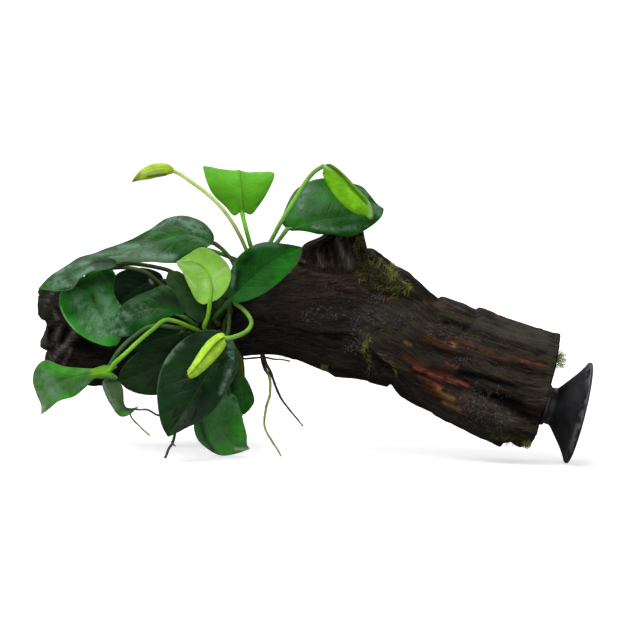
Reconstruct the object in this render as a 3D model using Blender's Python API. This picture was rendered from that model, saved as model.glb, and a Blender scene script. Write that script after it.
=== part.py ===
"""Dwarf anubias tied to a piece of driftwood, with a rubber suction cup on the cut end of the wood.

The script makes every separate piece as a closed solid, in metres with +Z up. +X runs along the wood
to the suction cup, and the object stands on z = 0 on the cup's rim and on the lowest leaves.

Places are given as seen in the photograph: a column, a row and a depth in millimetres behind the
middle of the wood (negative is nearer the viewer). photo_point() turns them into a real place, and the
driving size is the 40 mm rim of the suction cup.
"""

import math

import bpy
from mathutils import Vector

MM = 0.001

# Viewing position of the photograph
FRAME_CENTRE = 313.5
FOCAL_PIXELS = 2612.5
VIEW_DISTANCE = 1006 * MM
VIEW_DOWN = math.radians(4.0)
VIEW_ROLL = math.radians(2.1)
AIM = Vector((-1.5 * MM, 7.9 * MM, 54.2 * MM))

# Real sizes
CLEARANCE = 0.3 * MM
CUP_RIM_RADIUS = 20.0 * MM
CUP_NECK_RADIUS = 8.0 * MM
CUP_PEG_RADIUS = 4.0 * MM
CUP_PEG_LENGTH = 9.0 * MM
CUP_SIDES = 32
RHIZOME_RADIUS = 3.1 * MM
PETIOLE_RADIUS = 0.8 * MM
LEAF_THICKNESS = 1.2 * MM
ROOT_RADIUS = 0.6 * MM
TRUNK_SIDES = 32
TRUNK_RINGS = 30
STALK_ANGLES = (200, 145, 90, 35, -20, -90)
BLADE_SIDES = (-1.0, -0.5, 0.0, 0.5, 1.0)
BLADE_STATIONS = (0.035, 0.11, 0.22, 0.36, 0.5, 0.64, 0.77, 0.88, 0.96)


# Colour, roughness and metallic value of each material
MATERIALS = {
    "driftwood_bark": ((0.035, 0.022, 0.016), 0.72, 0.0),
    "driftwood_stub_bark": ((0.045, 0.03, 0.024), 0.75, 0.0),
    "rhizome_skin": ((0.09, 0.12, 0.025), 0.5, 0.0),
    "leaf_dark": ((0.01, 0.055, 0.018), 0.28, 0.0),
    "leaf_green": ((0.02, 0.12, 0.025), 0.3, 0.0),
    "leaf_bright": ((0.12, 0.4, 0.05), 0.4, 0.0),
    "leaf_lime": ((0.24, 0.5, 0.05), 0.38, 0.0),
    "leaf_rolled": ((0.42, 0.56, 0.07), 0.4, 0.0),
    "root_skin": ((0.16, 0.15, 0.03), 0.6, 0.0),
    "moss_strands": ((0.2, 0.22, 0.02), 0.9, 0.0),
    "cup_rubber": ((0.012, 0.012, 0.013), 0.35, 0.0),
}


def photo_point(column, row, depth=0.0):
    """The place that the photograph shows at a column and a row, at a depth in millimetres."""
    du = column - FRAME_CENTRE
    dv = row - FRAME_CENTRE
    across = (du * math.cos(VIEW_ROLL) + dv * math.sin(VIEW_ROLL)) / FOCAL_PIXELS
    up = (du * math.sin(VIEW_ROLL) - dv * math.cos(VIEW_ROLL)) / FOCAL_PIXELS
    level = VIEW_DISTANCE * math.cos(VIEW_DOWN) + depth * MM
    reach = level / (math.cos(VIEW_DOWN) + up * math.sin(VIEW_DOWN))
    forward = Vector((0.0, math.cos(VIEW_DOWN), -math.sin(VIEW_DOWN)))
    upward = Vector((0.0, math.sin(VIEW_DOWN), math.cos(VIEW_DOWN)))
    eye = AIM - forward * VIEW_DISTANCE
    return eye + forward * reach + Vector((across * reach, 0.0, 0.0)) + upward * (up * reach)


def photo_place(point):
    """The column and the row at which the photograph shows a place."""
    forward = Vector((0.0, math.cos(VIEW_DOWN), -math.sin(VIEW_DOWN)))
    upward = Vector((0.0, math.sin(VIEW_DOWN), math.cos(VIEW_DOWN)))
    arm = point - AIM + forward * VIEW_DISTANCE
    across, up = arm.x / arm.dot(forward), arm.dot(upward) / arm.dot(forward)
    du = (across * math.cos(VIEW_ROLL) + up * math.sin(VIEW_ROLL)) * FOCAL_PIXELS
    dv = (across * math.sin(VIEW_ROLL) - up * math.cos(VIEW_ROLL)) * FOCAL_PIXELS
    return FRAME_CENTRE + du, FRAME_CENTRE + dv


class Path:
    """A smooth curve through points, whose knots are the distances along it unless they are given."""

    def __init__(self, points, knots=None):
        self.points = [Vector(p) for p in points]
        if knots is None:
            knots = [0.0]
            for a, b in zip(self.points, self.points[1:]):
                knots.append(knots[-1] + max((b - a).length, 1e-9))
            knots = [k / knots[-1] for k in knots]
        self.knots = list(knots)
        self.slopes = []
        last = len(self.points) - 1
        for i in range(last + 1):
            a, b = max(i - 1, 0), min(i + 1, last)
            self.slopes.append((self.points[b] - self.points[a]) / (self.knots[b] - self.knots[a]))

    def span(self, t):
        last = len(self.points) - 2
        i = 0
        while i < last and t > self.knots[i + 1]:
            i += 1
        width = self.knots[i + 1] - self.knots[i]
        return i, width, (t - self.knots[i]) / width

    def at(self, t):
        i, width, x = self.span(t)
        a, b = self.points[i], self.points[i + 1]
        x2, x3 = x * x, x * x * x
        return (a * (2 * x3 - 3 * x2 + 1) + b * (3 * x2 - 2 * x3)
                + self.slopes[i] * (width * (x3 - 2 * x2 + x))
                + self.slopes[i + 1] * (width * (x3 - x2)))

    def direction(self, t):
        step = 1e-3 * (self.knots[-1] - self.knots[0])
        low = max(t - step, self.knots[0])
        high = min(t + step, self.knots[-1])
        return (self.at(high) - self.at(low)).normalized()


# Driftwood trunk: the top and bottom of its outline, the half depth in mm and the depth of its middle
TRUNK = (
    ((51, 296), (52, 364), 11, 0),
    ((64, 288), (66, 375), 14, 0),
    ((98, 284), (98, 386), 16, 0),
    ((140, 283), (140, 380), 17, 0),
    ((190, 281), (188, 367), 17, 0),
    ((238, 272), (240, 356), 17, 0),
    ((285, 262), (277, 355), 18, 0),
    ((325, 256), (322, 370), 20, 0),
    ((360, 248), (350, 376), 21, 0),
    ((386, 257), (374, 384), 21, 0),
    ((408, 270), (394, 389), 21, 0),
    ((428, 287), (412, 402), 21, 0),
    ((446, 299), (430, 412), 21, 0),
    ((472, 306), (452, 423), 21.5, 0),
    ((499, 314), (477, 435.5), 22, 0),
    ((530, 323.5), (502, 445), 22, 0),
    ((560, 333), (530, 446), 22, 0),
)
# Main forms of the wood's front: height in mm, half width or fading distance in pixels, and the line.
# A step stands proud on the right-hand side of its line.
WOOD_FOLDS = (
    (-3.4, 6.5, ((432, 374), (455, 383), (482, 395), (512, 408), (552, 425))),
    (1.6, 8.0, ((364, 240), (376, 258), (394, 272), (412, 288), (426, 299))),
    (-2.0, 10.0, ((362, 266), (380, 281), (404, 295))),
    (-1.2, 8.0, ((425, 348), (455, 355), (500, 366), (545, 380))),
)
WOOD_STEPS = (
    (1.7, 18.0, ((366, 338), (373, 360), (386, 383), (396, 396))),
    (1.2, 14.0, ((530, 326), (480, 311), (452, 300), (436, 294))),
)
GNARLED_END_SHARES = (0.25, 0.55, 0.8, 0.94)
TRUNK_COLUMNS = [(top[0] + bottom[0]) / 2 for top, bottom, _, _ in TRUNK]
TRUNK_TOP = Path([photo_point(*top, middle) for top, _, _, middle in TRUNK], TRUNK_COLUMNS)
TRUNK_BOTTOM = Path([photo_point(*bottom, middle) for _, bottom, _, middle in TRUNK], TRUNK_COLUMNS)
TRUNK_DEPTH = Path([(depth * MM, 0, 0) for _, _, depth, _ in TRUNK], TRUNK_COLUMNS)


def smooth_step(low, high, x):
    x = min(max((x - low) / (high - low), 0.0), 1.0)
    return x * x * (3 - 2 * x)


def bump(x, middle, width):
    return math.exp(-(((x - middle) / width) ** 2))


def lattice(x, y, z, seed):
    """A repeatable number from 0 to 1 for each place with whole numbers."""
    n = (x * 374761393 + y * 668265263 + z * 2147483647 + seed * 974634777) & 0xFFFFFFFF
    n = ((n ^ (n >> 13)) * 1274126177) & 0xFFFFFFFF
    return ((n ^ (n >> 16)) & 0xFFFF) / 65535.0


def grain(place, seed=0):
    """Smooth random relief from -1 to 1, with lumps about one unit wide."""
    cell = [math.floor(v) for v in place]
    f = [v - c for v, c in zip(place, cell)]
    f = [v * v * (3 - 2 * v) for v in f]
    total = 0.0
    for dx in (0, 1):
        for dy in (0, 1):
            for dz in (0, 1):
                weight = abs(1 - dx - f[0]) * abs(1 - dy - f[1]) * abs(1 - dz - f[2])
                total += weight * lattice(cell[0] + dx, cell[1] + dy, cell[2] + dz, seed)
    return total * 2 - 1


def line_distance(column, row, line):
    """Distance in pixels from a broken line, and the side of it (1 is the right-hand side)."""
    best, side = 1e9, 1.0
    for (x0, y0), (x1, y1) in zip(line, line[1:]):
        dx, dy = x1 - x0, y1 - y0
        u = min(max(((column - x0) * dx + (row - y0) * dy) / (dx * dx + dy * dy), 0), 1)
        distance = math.hypot(column - x0 - u * dx, row - y0 - u * dy)
        if distance < best:
            best = distance
            side = 1.0 if dx * (row - y0) - dy * (column - x0) >= 0 else -1.0
    return best, side


def wood_form(point, column, angle):
    """The trunk's main relief in mm: long folds all round, and the forms that the photograph shows in front."""
    a = math.radians(angle)
    along = column * 0.385
    turn = a + 0.3 * grain((along / 40, 1.2 * math.cos(a), 1.2 * math.sin(a)), 3)
    folds = 2.3 * grain((along / 42, 2.0 * math.cos(turn), 2.0 * math.sin(turn)), 7)
    folds += 1.2 * grain((along / 30, 3.3 * math.cos(turn), 3.3 * math.sin(turn)), 8)
    amount = smooth_step(264, 315, column) + 0.6 * (1 - smooth_step(100, 150, column))
    relief = amount * folds * (1 - 0.75 * math.sin(a) ** 2)
    shown_column, shown_row = photo_place(point)
    front = smooth_step(0.15, 0.6, math.cos(a))
    for height, width, line in WOOD_FOLDS:
        distance, _ = line_distance(shown_column, shown_row, line)
        relief += front * height * math.exp(-((distance / width) ** 2))
    for height, fade, line in WOOD_STEPS:
        distance, side = line_distance(shown_column, shown_row, line)
        relief += front * height * smooth_step(-2.0, 2.0, side * distance) * math.exp(-distance / fade)
    return relief


def trunk_relief(column, angle):
    """Share by which the trunk's radius grows at a place: long ridges, knots and the lower limb."""
    angle = (angle + 180) % 360 - 180
    a = math.radians(angle)
    ridges = 0.035 * math.sin(3 * a + column * 0.012) + 0.025 * math.sin(7 * a - column * 0.02 + 1.0)
    lumps = 0.03 * math.sin(column * 0.055 + 2.0 * math.sin(a)) * math.cos(2 * a + 0.6)
    side = math.sin(a) ** 2
    limb = 0.09 * smooth_step(360, 410, column) * bump(angle, -28 - 0.03 * (column - 400), 16)
    return (ridges + lumps) * (1 - 0.8 * side) + limb


def trunk_point(column, angle, lift=0.0):
    """A place on the trunk. Angle 0 is the front, 90 the top, 180 the back and -90 the underside."""
    top, bottom = TRUNK_TOP.at(column), TRUNK_BOTTOM.at(column)
    middle = (top + bottom) / 2
    a = math.radians(angle)
    back = Vector((0.0, TRUNK_DEPTH.at(column).x, 0.0))
    out = (top - middle) * math.sin(a) - back * math.cos(a)
    point = middle + out * (1 + trunk_relief(column, angle))
    return point + out.normalized() * (wood_form(point, column, angle) * MM + lift)


# Broken stub of a side branch: left and right of its outline and the half depth in mm, from below up
STUB = (
    ((288, 300), (376, 300), 15),
    ((294, 272), (372, 274), 14.5),
    ((298, 254), (368, 256), 14),
    ((304, 244), (366, 245), 13),
    ((319, 237), (364, 236), 11),
    ((330, 230), (361, 228), 8.5),
)
STUB_MIDDLE = -2.0
STUB_TOP = (346, 223)
STUB_SIDES = 20
STUB_LEFT = Path([photo_point(*left, STUB_MIDDLE) for left, _, _ in STUB])
STUB_RIGHT = Path([photo_point(*right, STUB_MIDDLE) for _, right, _ in STUB], STUB_LEFT.knots)
STUB_DEPTH = Path([(depth * MM, 0, 0) for _, _, depth in STUB], STUB_LEFT.knots)


def stub_point(height, turn, lift=0.0):
    """A place on the stub, from 0 below to 1 at its broken top. Turn 0 is its right, -90 its front."""
    left, right = STUB_LEFT.at(height), STUB_RIGHT.at(height)
    a = math.radians(turn)
    back = Vector((0.0, STUB_DEPTH.at(height).x, 0.0))
    out = (right - left) / 2 * math.cos(a) + back * math.sin(a)
    return (left + right) / 2 + out * (1 + 0.05 * math.sin(5 * a + 1.0)) + out.normalized() * lift


# Rhizome: trunk column and angle of its middle line, from the upper crown to the lower one
RHIZOME = ((262, 66), (250, 52), (238, 36), (226, 20), (213, 4), (200, -10), (190, -18))
RHIZOME_PATH = Path([trunk_point(c, a, RHIZOME_RADIUS + 0.7 * MM) for c, a in RHIZOME])
RHIZOME_SWELL = (0.5, 0.95, 1.05, 0.92, 1.08, 0.95, 1.1, 0.92, 1.06, 0.95, 1.08, 0.94, 1.0, 0.55)


def rhizome_out(t):
    """The direction from the wood through the rhizome at a fraction of its length."""
    middle = RHIZOME_PATH.at(t)
    column = 262 + (190 - 262) * t
    centre = (TRUNK_TOP.at(column) + TRUNK_BOTTOM.at(column)) / 2
    along = RHIZOME_PATH.direction(t)
    out = middle - centre
    return (out - along * out.dot(along)).normalized()


def rhizome_point(t, roll, lift=0.0):
    """A place on the rhizome. Roll 0 faces away from the wood."""
    out = rhizome_out(t)
    across = RHIZOME_PATH.direction(t).cross(out)
    a = math.radians(roll)
    radius = RHIZOME_RADIUS * 1.1 + lift
    return RHIZOME_PATH.at(t) + (out * math.cos(a) + across * math.sin(a)) * radius


# Leaves. "root" is where the petiole leaves the rhizome (fraction, roll), "petiole" is its way to the
# blade, "rib" is the midrib from the base to the tip, "left" and "right" are the margins between them.
# "lean" is the depth in mm at the base of the blade and its change per column and per row; a third
# number of a point is added to that depth.
LEAVES = {
    "leaf_pale_upright": dict(
        material="leaf_bright", root=(0.06, 20),
        petiole=((251, 247, -16), (246, 229, -15), (243, 217, -12)),
        rib=((242, 211), (241, 190, -1), (239.5, 171, 3), (238, 173, 13), (237, 181, 20)),
        knots=(0.0, 0.27, 0.53, 0.77, 1.0),
        left=((234, 216), (225, 208), (214, 196), (207, 181), (206, 168, 3), (222, 171, 13)),
        right=((251, 214), (259, 206), (267, 193), (272, 180), (270, 174, 3), (254, 173, 13)),
        lean=(-11, 0.0, 0.05),
    ),
    "leaf_upper_right": dict(
        material="leaf_green", root=(0.0, -35),
        petiole=((271, 250, -17), (279, 240, -18), (285, 232, -18)),
        rib=((287, 229), (318, 221, -2), (350, 216, -2), (382, 210)),
        left=((282, 223), (284, 211), (294, 191), (309, 182), (326, 178), (345, 181), (360, 186), (368, 198), (374, 205)),
        right=((292, 231), (307, 231), (320, 234), (342, 237), (356, 234), (370, 227), (379, 219)),
        lean=(-18, -0.01, -0.16),
    ),
    "leaf_folded_lime": dict(
        material="leaf_lime", root=(0.05, -60),
        petiole=((259, 258, -21), (268, 246, -23), (281.6, 221, -26), (295, 199, -28), (305, 183, -29),
                 (314, 172, -30), (320, 168, -30)),
        rib=((323, 166), (334, 179, -1), (350, 197, -1), (364, 211), (372, 222)),
        left=((322, 170), (328, 184), (339, 200), (353, 211), (364, 214)),
        right=((331, 164), (344, 174), (358, 189), (370, 202), (373, 213)),
        lean=(-31, 0.0, -0.02), thickness=2.4,
    ),
    "leaf_arching_left": dict(
        material="leaf_dark", root=(0.18, 5),
        petiole=((236, 266, -18), (230, 256, -15), (221, 246, -11)),
        rib=((214, 240), (185, 232), (150, 241), (115, 253), (90, 258), (67, 265)),
        left=((213, 232, 4), (203, 221, 8), (186, 216, 11), (167, 218, 12), (150, 228, 12), (125, 245, 10),
              (101, 253, 6), (80, 258, 3)),
        right=((208, 246, -5), (192, 258, -10), (174, 261, -13), (150, 261, -13), (118, 262, -12), (90, 264, -4)),
        lean=(-8, 0.0, 0.0),
    ),
    "leaf_far_left": dict(
        material="leaf_dark", root=(0.62, 60),
        petiole=((196, 306, -24), (184, 281, -22), (165, 272, -22), (145, 269, -23), (128, 266, -25.5)),
        rib=((118, 264), (97, 263), (74, 271), (54, 281), (38, 289)),
        left=((114, 259, 1), (97, 256, 3), (81, 260, 4), (64, 267, 3), (49, 277, 1)),
        right=((112, 268, -2), (93, 272, -5), (79, 279, -6), (71, 289, -7), (58, 292, -6), (48, 290, -3)),
        lean=(-27, 0.02, 0.0),
    ),
    "leaf_round_left": dict(
        material="leaf_green", root=(0.7, 70),
        petiole=((192, 312, -23), (160, 292, -20), (120, 275, -17), (100, 273, -17)),
        rib=((85, 276), (92, 296, 1), (106, 325, 1), (117, 345)),
        left=((99, 273), (110, 273), (118, 288), (123, 303), (125, 322), (122, 337)),
        right=((72, 280), (62, 290), (59, 303), (64, 318), (75, 332), (91, 342), (107, 347)),
        lean=(-20, 0.0, -0.14),
    ),
    "leaf_centre_left": dict(
        material="leaf_green", root=(0.78, 40),
        petiole=((196, 326, -29), (190, 321, -32)),
        rib=((184, 317), (160, 308, -1), (136, 313, -1), (108, 333)),
        left=((181, 303, 1), (168, 287, 2), (153, 290, 2), (137, 298, 2), (123, 306, 1), (113, 320)),
        right=((176, 315, -1), (166, 318, -1), (150, 328, -2), (134, 335, -2), (119, 337, -1)),
        lean=(-34, -0.01, 0.0),
    ),
    "leaf_shaded_left": dict(
        material="leaf_dark", root=(0.66, 20),
        petiole=((196, 314, -26), (182, 297, -26), (170, 285, -25)),
        rib=((164, 280), (148, 282), (132, 292), (120, 304)),
        left=((160, 273), (146, 268), (130, 270), (117, 280), (116, 294)),
        right=((162, 289), (150, 300), (138, 307), (127, 308)),
        lean=(-25, 0.0, 0.0),
    ),
    "leaf_shaded_centre": dict(
        material="leaf_dark", root=(0.74, -5),
        petiole=((207, 328, -28),),
        rib=((205, 323), (192, 304), (180, 286), (168, 272)),
        left=((206, 314, 1), (201, 297, 1), (190, 280, 1), (178, 271)),
        right=((196, 321, -1), (182, 310, -1), (171, 294, -1), (166, 280)),
        lean=(-28.5, 0.0, 0.03),
    ),
    "leaf_lime_centre": dict(
        material="leaf_lime", root=(0.8, -20),
        petiole=((204, 327, -34), (208, 316, -36.5)),
        rib=((210, 302), (212, 286, 1), (206, 270, 2), (194, 262, 1), (176, 262)),
        left=((203, 304), (195, 297), (189, 283), (183, 272), (178, 266)),
        right=((218, 299), (228, 286), (230, 272), (222, 259), (211, 251), (202, 248), (190, 254)),
        lean=(-37, 0.02, -0.06),
    ),
    "leaf_centre_right": dict(
        material="leaf_green", root=(0.7, -40),
        petiole=((214, 318, -30), (222, 309, -31)),
        rib=((229, 301), (252, 278, 1), (278, 258, 1), (302, 247)),
        left=((227, 294), (229, 280), (231, 268), (238, 255), (252, 245), (268, 241), (286, 243)),
        right=((236, 303), (252, 299), (268, 291), (285, 277), (297, 264), (302, 253)),
        lean=(-31, 0.05, 0.06),
    ),
    "leaf_rolled_front": dict(
        material="leaf_rolled", root=(0.36, -25),
        petiole=((235, 303, -27), (241, 307.5, -28), (248, 315, -30), (251.5, 323, -34), (248, 330, -38),
                 (241, 334.5, -43), (232, 337.5, -48)),
        rib=((227, 338), (218, 347, -1), (205, 361, -1), (186, 376)),
        left=((221, 333), (212, 337), (204, 345), (197, 355), (191, 366)),
        right=((227, 345), (222, 354), (213, 365), (202, 375), (192, 379)),
        lean=(-50, 0.0, -0.01), thickness=4.6,
    ),
    "leaf_large_front": dict(
        material="leaf_dark", root=(0.46, -25),
        petiole=((229.5, 312, -27), (229, 324, -31)),
        rib=((228, 333), (214, 362, 1), (190, 402, 1), (168, 437)),
        left=((218, 330), (199, 331), (180, 342), (164, 362), (157, 386), (158, 408), (162, 426)),
        right=((234, 342), (238, 360), (235, 374), (221, 401), (203, 419), (183, 430)),
        lean=(-35, 0.02, -0.13),
    ),
    "leaf_dark_behind": dict(
        material="leaf_dark", root=(0.95, 5),
        petiole=((192, 340, -27),),
        rib=((186, 346), (165, 362), (143, 373), (119, 382)),
        left=((178, 343), (158, 345), (140, 351), (127, 362), (120, 373)),
        right=((185, 358), (178, 380), (160, 394), (141, 394), (127, 389)),
        lean=(-30, 0.0, 0.0),
    ),
    "leaf_hanging_right": dict(
        material="leaf_green", root=(0.88, -50),
        petiole=((212, 350, -25), (222, 372, -24), (227, 384, -23)),
        rib=((229, 392), (224, 413, 1), (224, 434, 1), (236, 447), (250, 449)),
        left=((220, 394), (207, 405), (194, 421), (196, 437), (206, 448), (220, 455.3), (236, 453.5)),
        right=((237, 397), (241, 410), (245, 424), (247, 436), (247, 444)),
        lean=(-24, 0.0, 0.0),
    ),
    "leaf_behind_right": dict(
        material="leaf_dark", root=(0.55, -55),
        petiole=((223, 330, -21), (236, 350, -19), (242, 363, -18)),
        rib=((240, 372), (242, 386), (243, 400), (244, 415)),
        left=((232, 374), (229, 388), (232, 403)),
        right=((246, 378), (252, 390), (254.5, 401), (250, 409)),
        lean=(-17, 0.0, 0.0),
    ),
    "leaf_low_left": dict(
        material="leaf_green", root=(0.86, 15),
        petiole=((199, 331, -34), (190, 327, -38), (178, 322, -41), (165, 320, -43), (152, 330, -44),
                 (140, 340, -44), (125, 354, -44), (114, 364, -43)),
        rib=((110, 371), (93, 373, -1), (68, 379, -1), (50, 389), (41, 415)),
        left=((117, 367, 1), (105, 366, 1), (94, 369), (76, 368), (60, 366), (45, 360), (36, 367), (32.5, 380),
              (37, 396), (41, 405)),
        right=((118, 378, 1), (107, 378, 1), (95, 377.5), (85, 387), (74, 396), (59, 401), (49, 409)),
        lean=(-42, 0.08, 0.0), stations=(0.03, 0.08, 0.15, 0.25, 0.37, 0.48, 0.58, 0.66, 0.73, 0.81, 0.9, 0.96),
    ),
    "leaf_small_curled": dict(
        material="leaf_green", root=(0.84, 50),
        petiole=((180, 328, -37.3), (152, 326, -39.5), (132, 338, -39), (118, 352, -39), (110, 366, -38)),
        rib=((107, 379), (113, 397), (121, 413, 1), (130, 412, 2), (139, 405, 3)),
        left=((103, 381), (103, 388), (113, 406), (119, 416), (128, 416)),
        right=((116, 380, 2), (122, 387, 3), (123, 400, 3), (126, 407, 3), (134, 408, 3)),
        lean=(-38, 0.0, 0.0),
    ),
    "leaf_shaded_low": dict(
        material="leaf_dark", root=(0.95, 42),
        petiole=((190, 333, -31),),
        rib=((182, 332), (165, 337), (150, 342), (131, 349)),
        left=((176, 326), (160, 326), (146, 332), (135, 341)),
        right=((180, 340), (166, 348), (151, 351), (138, 351)),
        lean=(-33, 0.0, 0.0),
    ),
    "leaf_back_standing": dict(
        material="leaf_green", root=(0.24, 75), over=((242, 72), (238, 104), (234, 136)),
        petiole=((226, 305, 25), (224, 325, 30)),
        rib=((224, 342), (222, 375, 2), (222, 408, 3), (224, 438.6)),
        left=((208, 341), (195, 362), (191, 392), (202, 424)),
        right=((237, 344), (243, 367), (244, 396), (238, 425)),
        lean=(32, 0.0, 0.035),
    ),
    "leaf_back_right": dict(
        material="leaf_dark", root=(0.0, 40), over=((274, 84), (278, 112), (280, 140)),
        petiole=((280, 284, 25),),
        rib=((281, 292), (292, 307, 1), (306, 323, 1), (322, 340)),
        left=((290, 284), (308, 288), (324, 305), (329, 325)),
        right=((269, 297), (265, 313), (277, 333), (301, 345)),
        lean=(25, 0.02, 0.04),
    ),
    "leaf_back_left": dict(
        material="leaf_dark", root=(0.46, 75), over=((216, 62), (206, 98), (198, 132)),
        petiole=((180, 303, 24),),
        rib=((166, 312), (145, 322, 1), (120, 338, 1), (92, 360)),
        left=((160, 302), (138, 298), (112, 308), (94, 334)),
        right=((168, 324), (158, 348), (136, 366), (112, 371)),
        lean=(25, -0.03, 0.02),
    ),
    "leaf_back_top": dict(
        material="leaf_green", root=(0.13, 55),
        petiole=((244, 262, -8), (232, 258, 2), (216, 252, 12), (205, 249, 18)),
        rib=((197, 247), (182, 240, 2), (165, 240, 4), (146, 248, 5)),
        left=((196, 238, 5), (182, 228, 8), (165, 228, 9), (150, 238, 7)),
        right=((190, 254, -2), (176, 257, -3), (162, 257, -2), (150, 253, 2)),
        lean=(20, 0.0, 0.0),
    ),
    "leaf_back_low": dict(
        material="leaf_dark", root=(0.36, 80), over=((228, 66), (220, 100), (210, 136)),
        petiole=((198, 312, 24), (193, 328, 24)),
        rib=((191, 338), (188, 358, 1), (184, 380, 1), (178, 408)),
        left=((179, 336), (164, 350), (159, 372), (164, 396)),
        right=((203, 340), (212, 358), (211, 380), (198, 399)),
        lean=(24, 0.0, 0.03),
    ),
}

# The bud at the top left is a closed spindle: its middle line and the half width in mm along it
BUD = dict(
    root=(0.12, -20),
    petiole=((247.5, 252, -18), (241, 238, -17), (232, 222, -16), (220, 206, -15), (205, 192, -14),
             (190, 181, -14), (180, 174, -14)),
    body=((173, 171, 1.1), (166, 169.5, 2.1), (156, 170.5, 2.5), (146, 173.5, 2.2), (138, 177.5, 1.2), (132, 182, 0)),
    depth=-14,
)

# Roots: rhizome start (fraction, roll), places round the wood (column, angle), then hanging places
ROOTS = {
    "root_creeping": dict(
        start=(0.05, 150), round_wood=((252, 100), (246, 130), (242, 165), (240, 205), (240, 240), (243, 262)),
        hanging=((250, 358.5, 2), (262, 357.5, 0), (275, 359, -1), (290, 361, -2)),
    ),
    "root_long_olive": dict(
        start=None, round_wood=(),
        hanging=((262.5, 361, -2), (264, 367, -4), (268.5, 375, -8), (270, 385, -11), (269.5, 395, -12),
                 (266, 408, -13), (265, 428, -15), (272, 441, -17), (281, 456, -19)),
    ),
    "root_long_brown": dict(
        start=None, round_wood=(),
        hanging=((265.5, 361.5, 1), (271, 373, 0), (276, 387, -1), (282.5, 401, -1), (292, 413, -2), (303, 426, -3)),
    ),
    "root_left_curved": dict(
        start=(0.9, -120), round_wood=((192, -35), (190, -55), (188, -78)),
        hanging=((184, 380, -14), (176, 402, -18), (166, 414, -24), (158, 415, -28), (147, 410, -31), (137, 409, -33),
                 (130, 411, -33), (131, 417, -33), (140, 427, -33), (149, 436, -33)),
    ),
    "root_forked": dict(
        start=(0.97, -75), round_wood=((184, -32), (182, -50), (182, -70)),
        hanging=((182, 384, -22), (180, 404, -32), (177, 425, -42), (173, 440, -46), (169, 449, -47), (166, 457, -48)),
    ),
}

# Moss: the wood that it grows on, the places that it covers there and how high it stands in mm
MOSS = {
    "moss_in_crevice": dict(on="trunk", first=(370, 407), second=(24, 46), height=2.4),
    "moss_on_stub": dict(on="stub", first=(0.62, 0.84), second=(-54, -18), height=1.4),
    "moss_strand_on_limb": dict(on="trunk", first=(362, 377), second=(-36, -16), height=1.2),
    "moss_tuft_underside": dict(on="trunk", first=(322, 330), second=(-70, -56), height=1.5),
    "moss_tuft_cut_end": dict(on="end", first=(0.16, 0.68), second=(-15, -5), height=2.5),
    "moss_tuft_low_end": dict(on="trunk", first=(519, 527), second=(-92, -74), height=1.8),
}


def material(name):
    made = bpy.data.materials.get(name)
    if made is None:
        colour, roughness, metallic = MATERIALS[name]
        made = bpy.data.materials.new(name)
        made.use_nodes = True
        shader = made.node_tree.nodes["Principled BSDF"]
        shader.inputs["Base Color"].default_value = (*colour, 1.0)
        shader.inputs["Roughness"].default_value = roughness
        shader.inputs["Metallic"].default_value = metallic
    return made


def add_piece(name, points, faces, material_name, smooth=True):
    mesh = bpy.data.meshes.new(name)
    mesh.from_pydata([tuple(p) for p in points], [], faces)
    mesh.materials.append(material(material_name))
    mesh.polygons.foreach_set("use_smooth", [smooth] * len(mesh.polygons))
    mesh.update()
    piece = bpy.data.objects.new(name, mesh)
    bpy.context.scene.collection.objects.link(piece)
    return piece


def band(first, second, count):
    """Faces between two rings of the same number of points."""
    return [(first + i, first + (i + 1) % count, second + (i + 1) % count, second + i) for i in range(count)]


def loft(rings, start_point=None, end_point=None):
    """Points and faces of a closed body through rings, each end a fan round a point."""
    count = len(rings[0])
    points = [p for ring in rings for p in ring]
    faces = []
    for i in range(len(rings) - 1):
        faces += band(i * count, (i + 1) * count, count)
    first_centre = start_point or sum(rings[0], Vector()) / count
    last_centre = end_point or sum(rings[-1], Vector()) / count
    points += [first_centre, last_centre]
    last = (len(rings) - 1) * count
    for i in range(count):
        j = (i + 1) % count
        faces.append((j, i, len(points) - 2))
        faces.append((last + i, last + j, len(points) - 1))
    return points, faces


def turned_outward(points, faces):
    """The same faces, all turned so that the body's volume comes out positive."""
    volume = 0.0
    for face in faces:
        for i in range(1, len(face) - 1):
            a, b, c = points[face[0]], points[face[i]], points[face[i + 1]]
            volume += a.dot(b.cross(c))
    if volume < 0:
        faces = [tuple(reversed(face)) for face in faces]
    return points, faces


def ring_about(middle, along, side, radius, angles=STALK_ANGLES):
    side = (side - along * side.dot(along)).normalized()
    normal = side.cross(along)
    return [middle + (side * math.cos(math.radians(a)) + normal * math.sin(math.radians(a))) * radius
            for a in angles]


def carried_rings(path, fractions, side, radii, angles=STALK_ANGLES):
    """Rings along a path, from its end to its start, that carry the side direction without a twist."""
    rings = []
    for t, radius in reversed(list(zip(fractions, radii))):
        along = path.direction(t)
        rings.append(ring_about(path.at(t), along, side, radius, angles))
        side = (side - along * side.dot(along)).normalized()
    return list(reversed(rings))


def leaf_depth(leaf, column, row, extra=0.0):
    base_column, base_row = leaf["rib"][0][:2]
    base, per_column, per_row = leaf["lean"]
    return base + per_column * (column - base_column) + per_row * (row - base_row) + extra


def blade_paths(leaf):
    """Midrib and both margins of a blade as paths from its base to its tip.

    "knots", where a leaf has them, place the midrib's points along the blade, so that a fold runs across.
    """
    rib = [photo_point(p[0], p[1], leaf_depth(leaf, *p)) for p in leaf["rib"]]
    left = [photo_point(p[0], p[1], leaf_depth(leaf, *p)) for p in leaf["left"]]
    right = [photo_point(p[0], p[1], leaf_depth(leaf, *p)) for p in leaf["right"]]
    margins = [Path([rib[0]] + side + [rib[-1]]) for side in (left, right)]
    return Path(rib, leaf.get("knots")), margins[0], margins[1]


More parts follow.
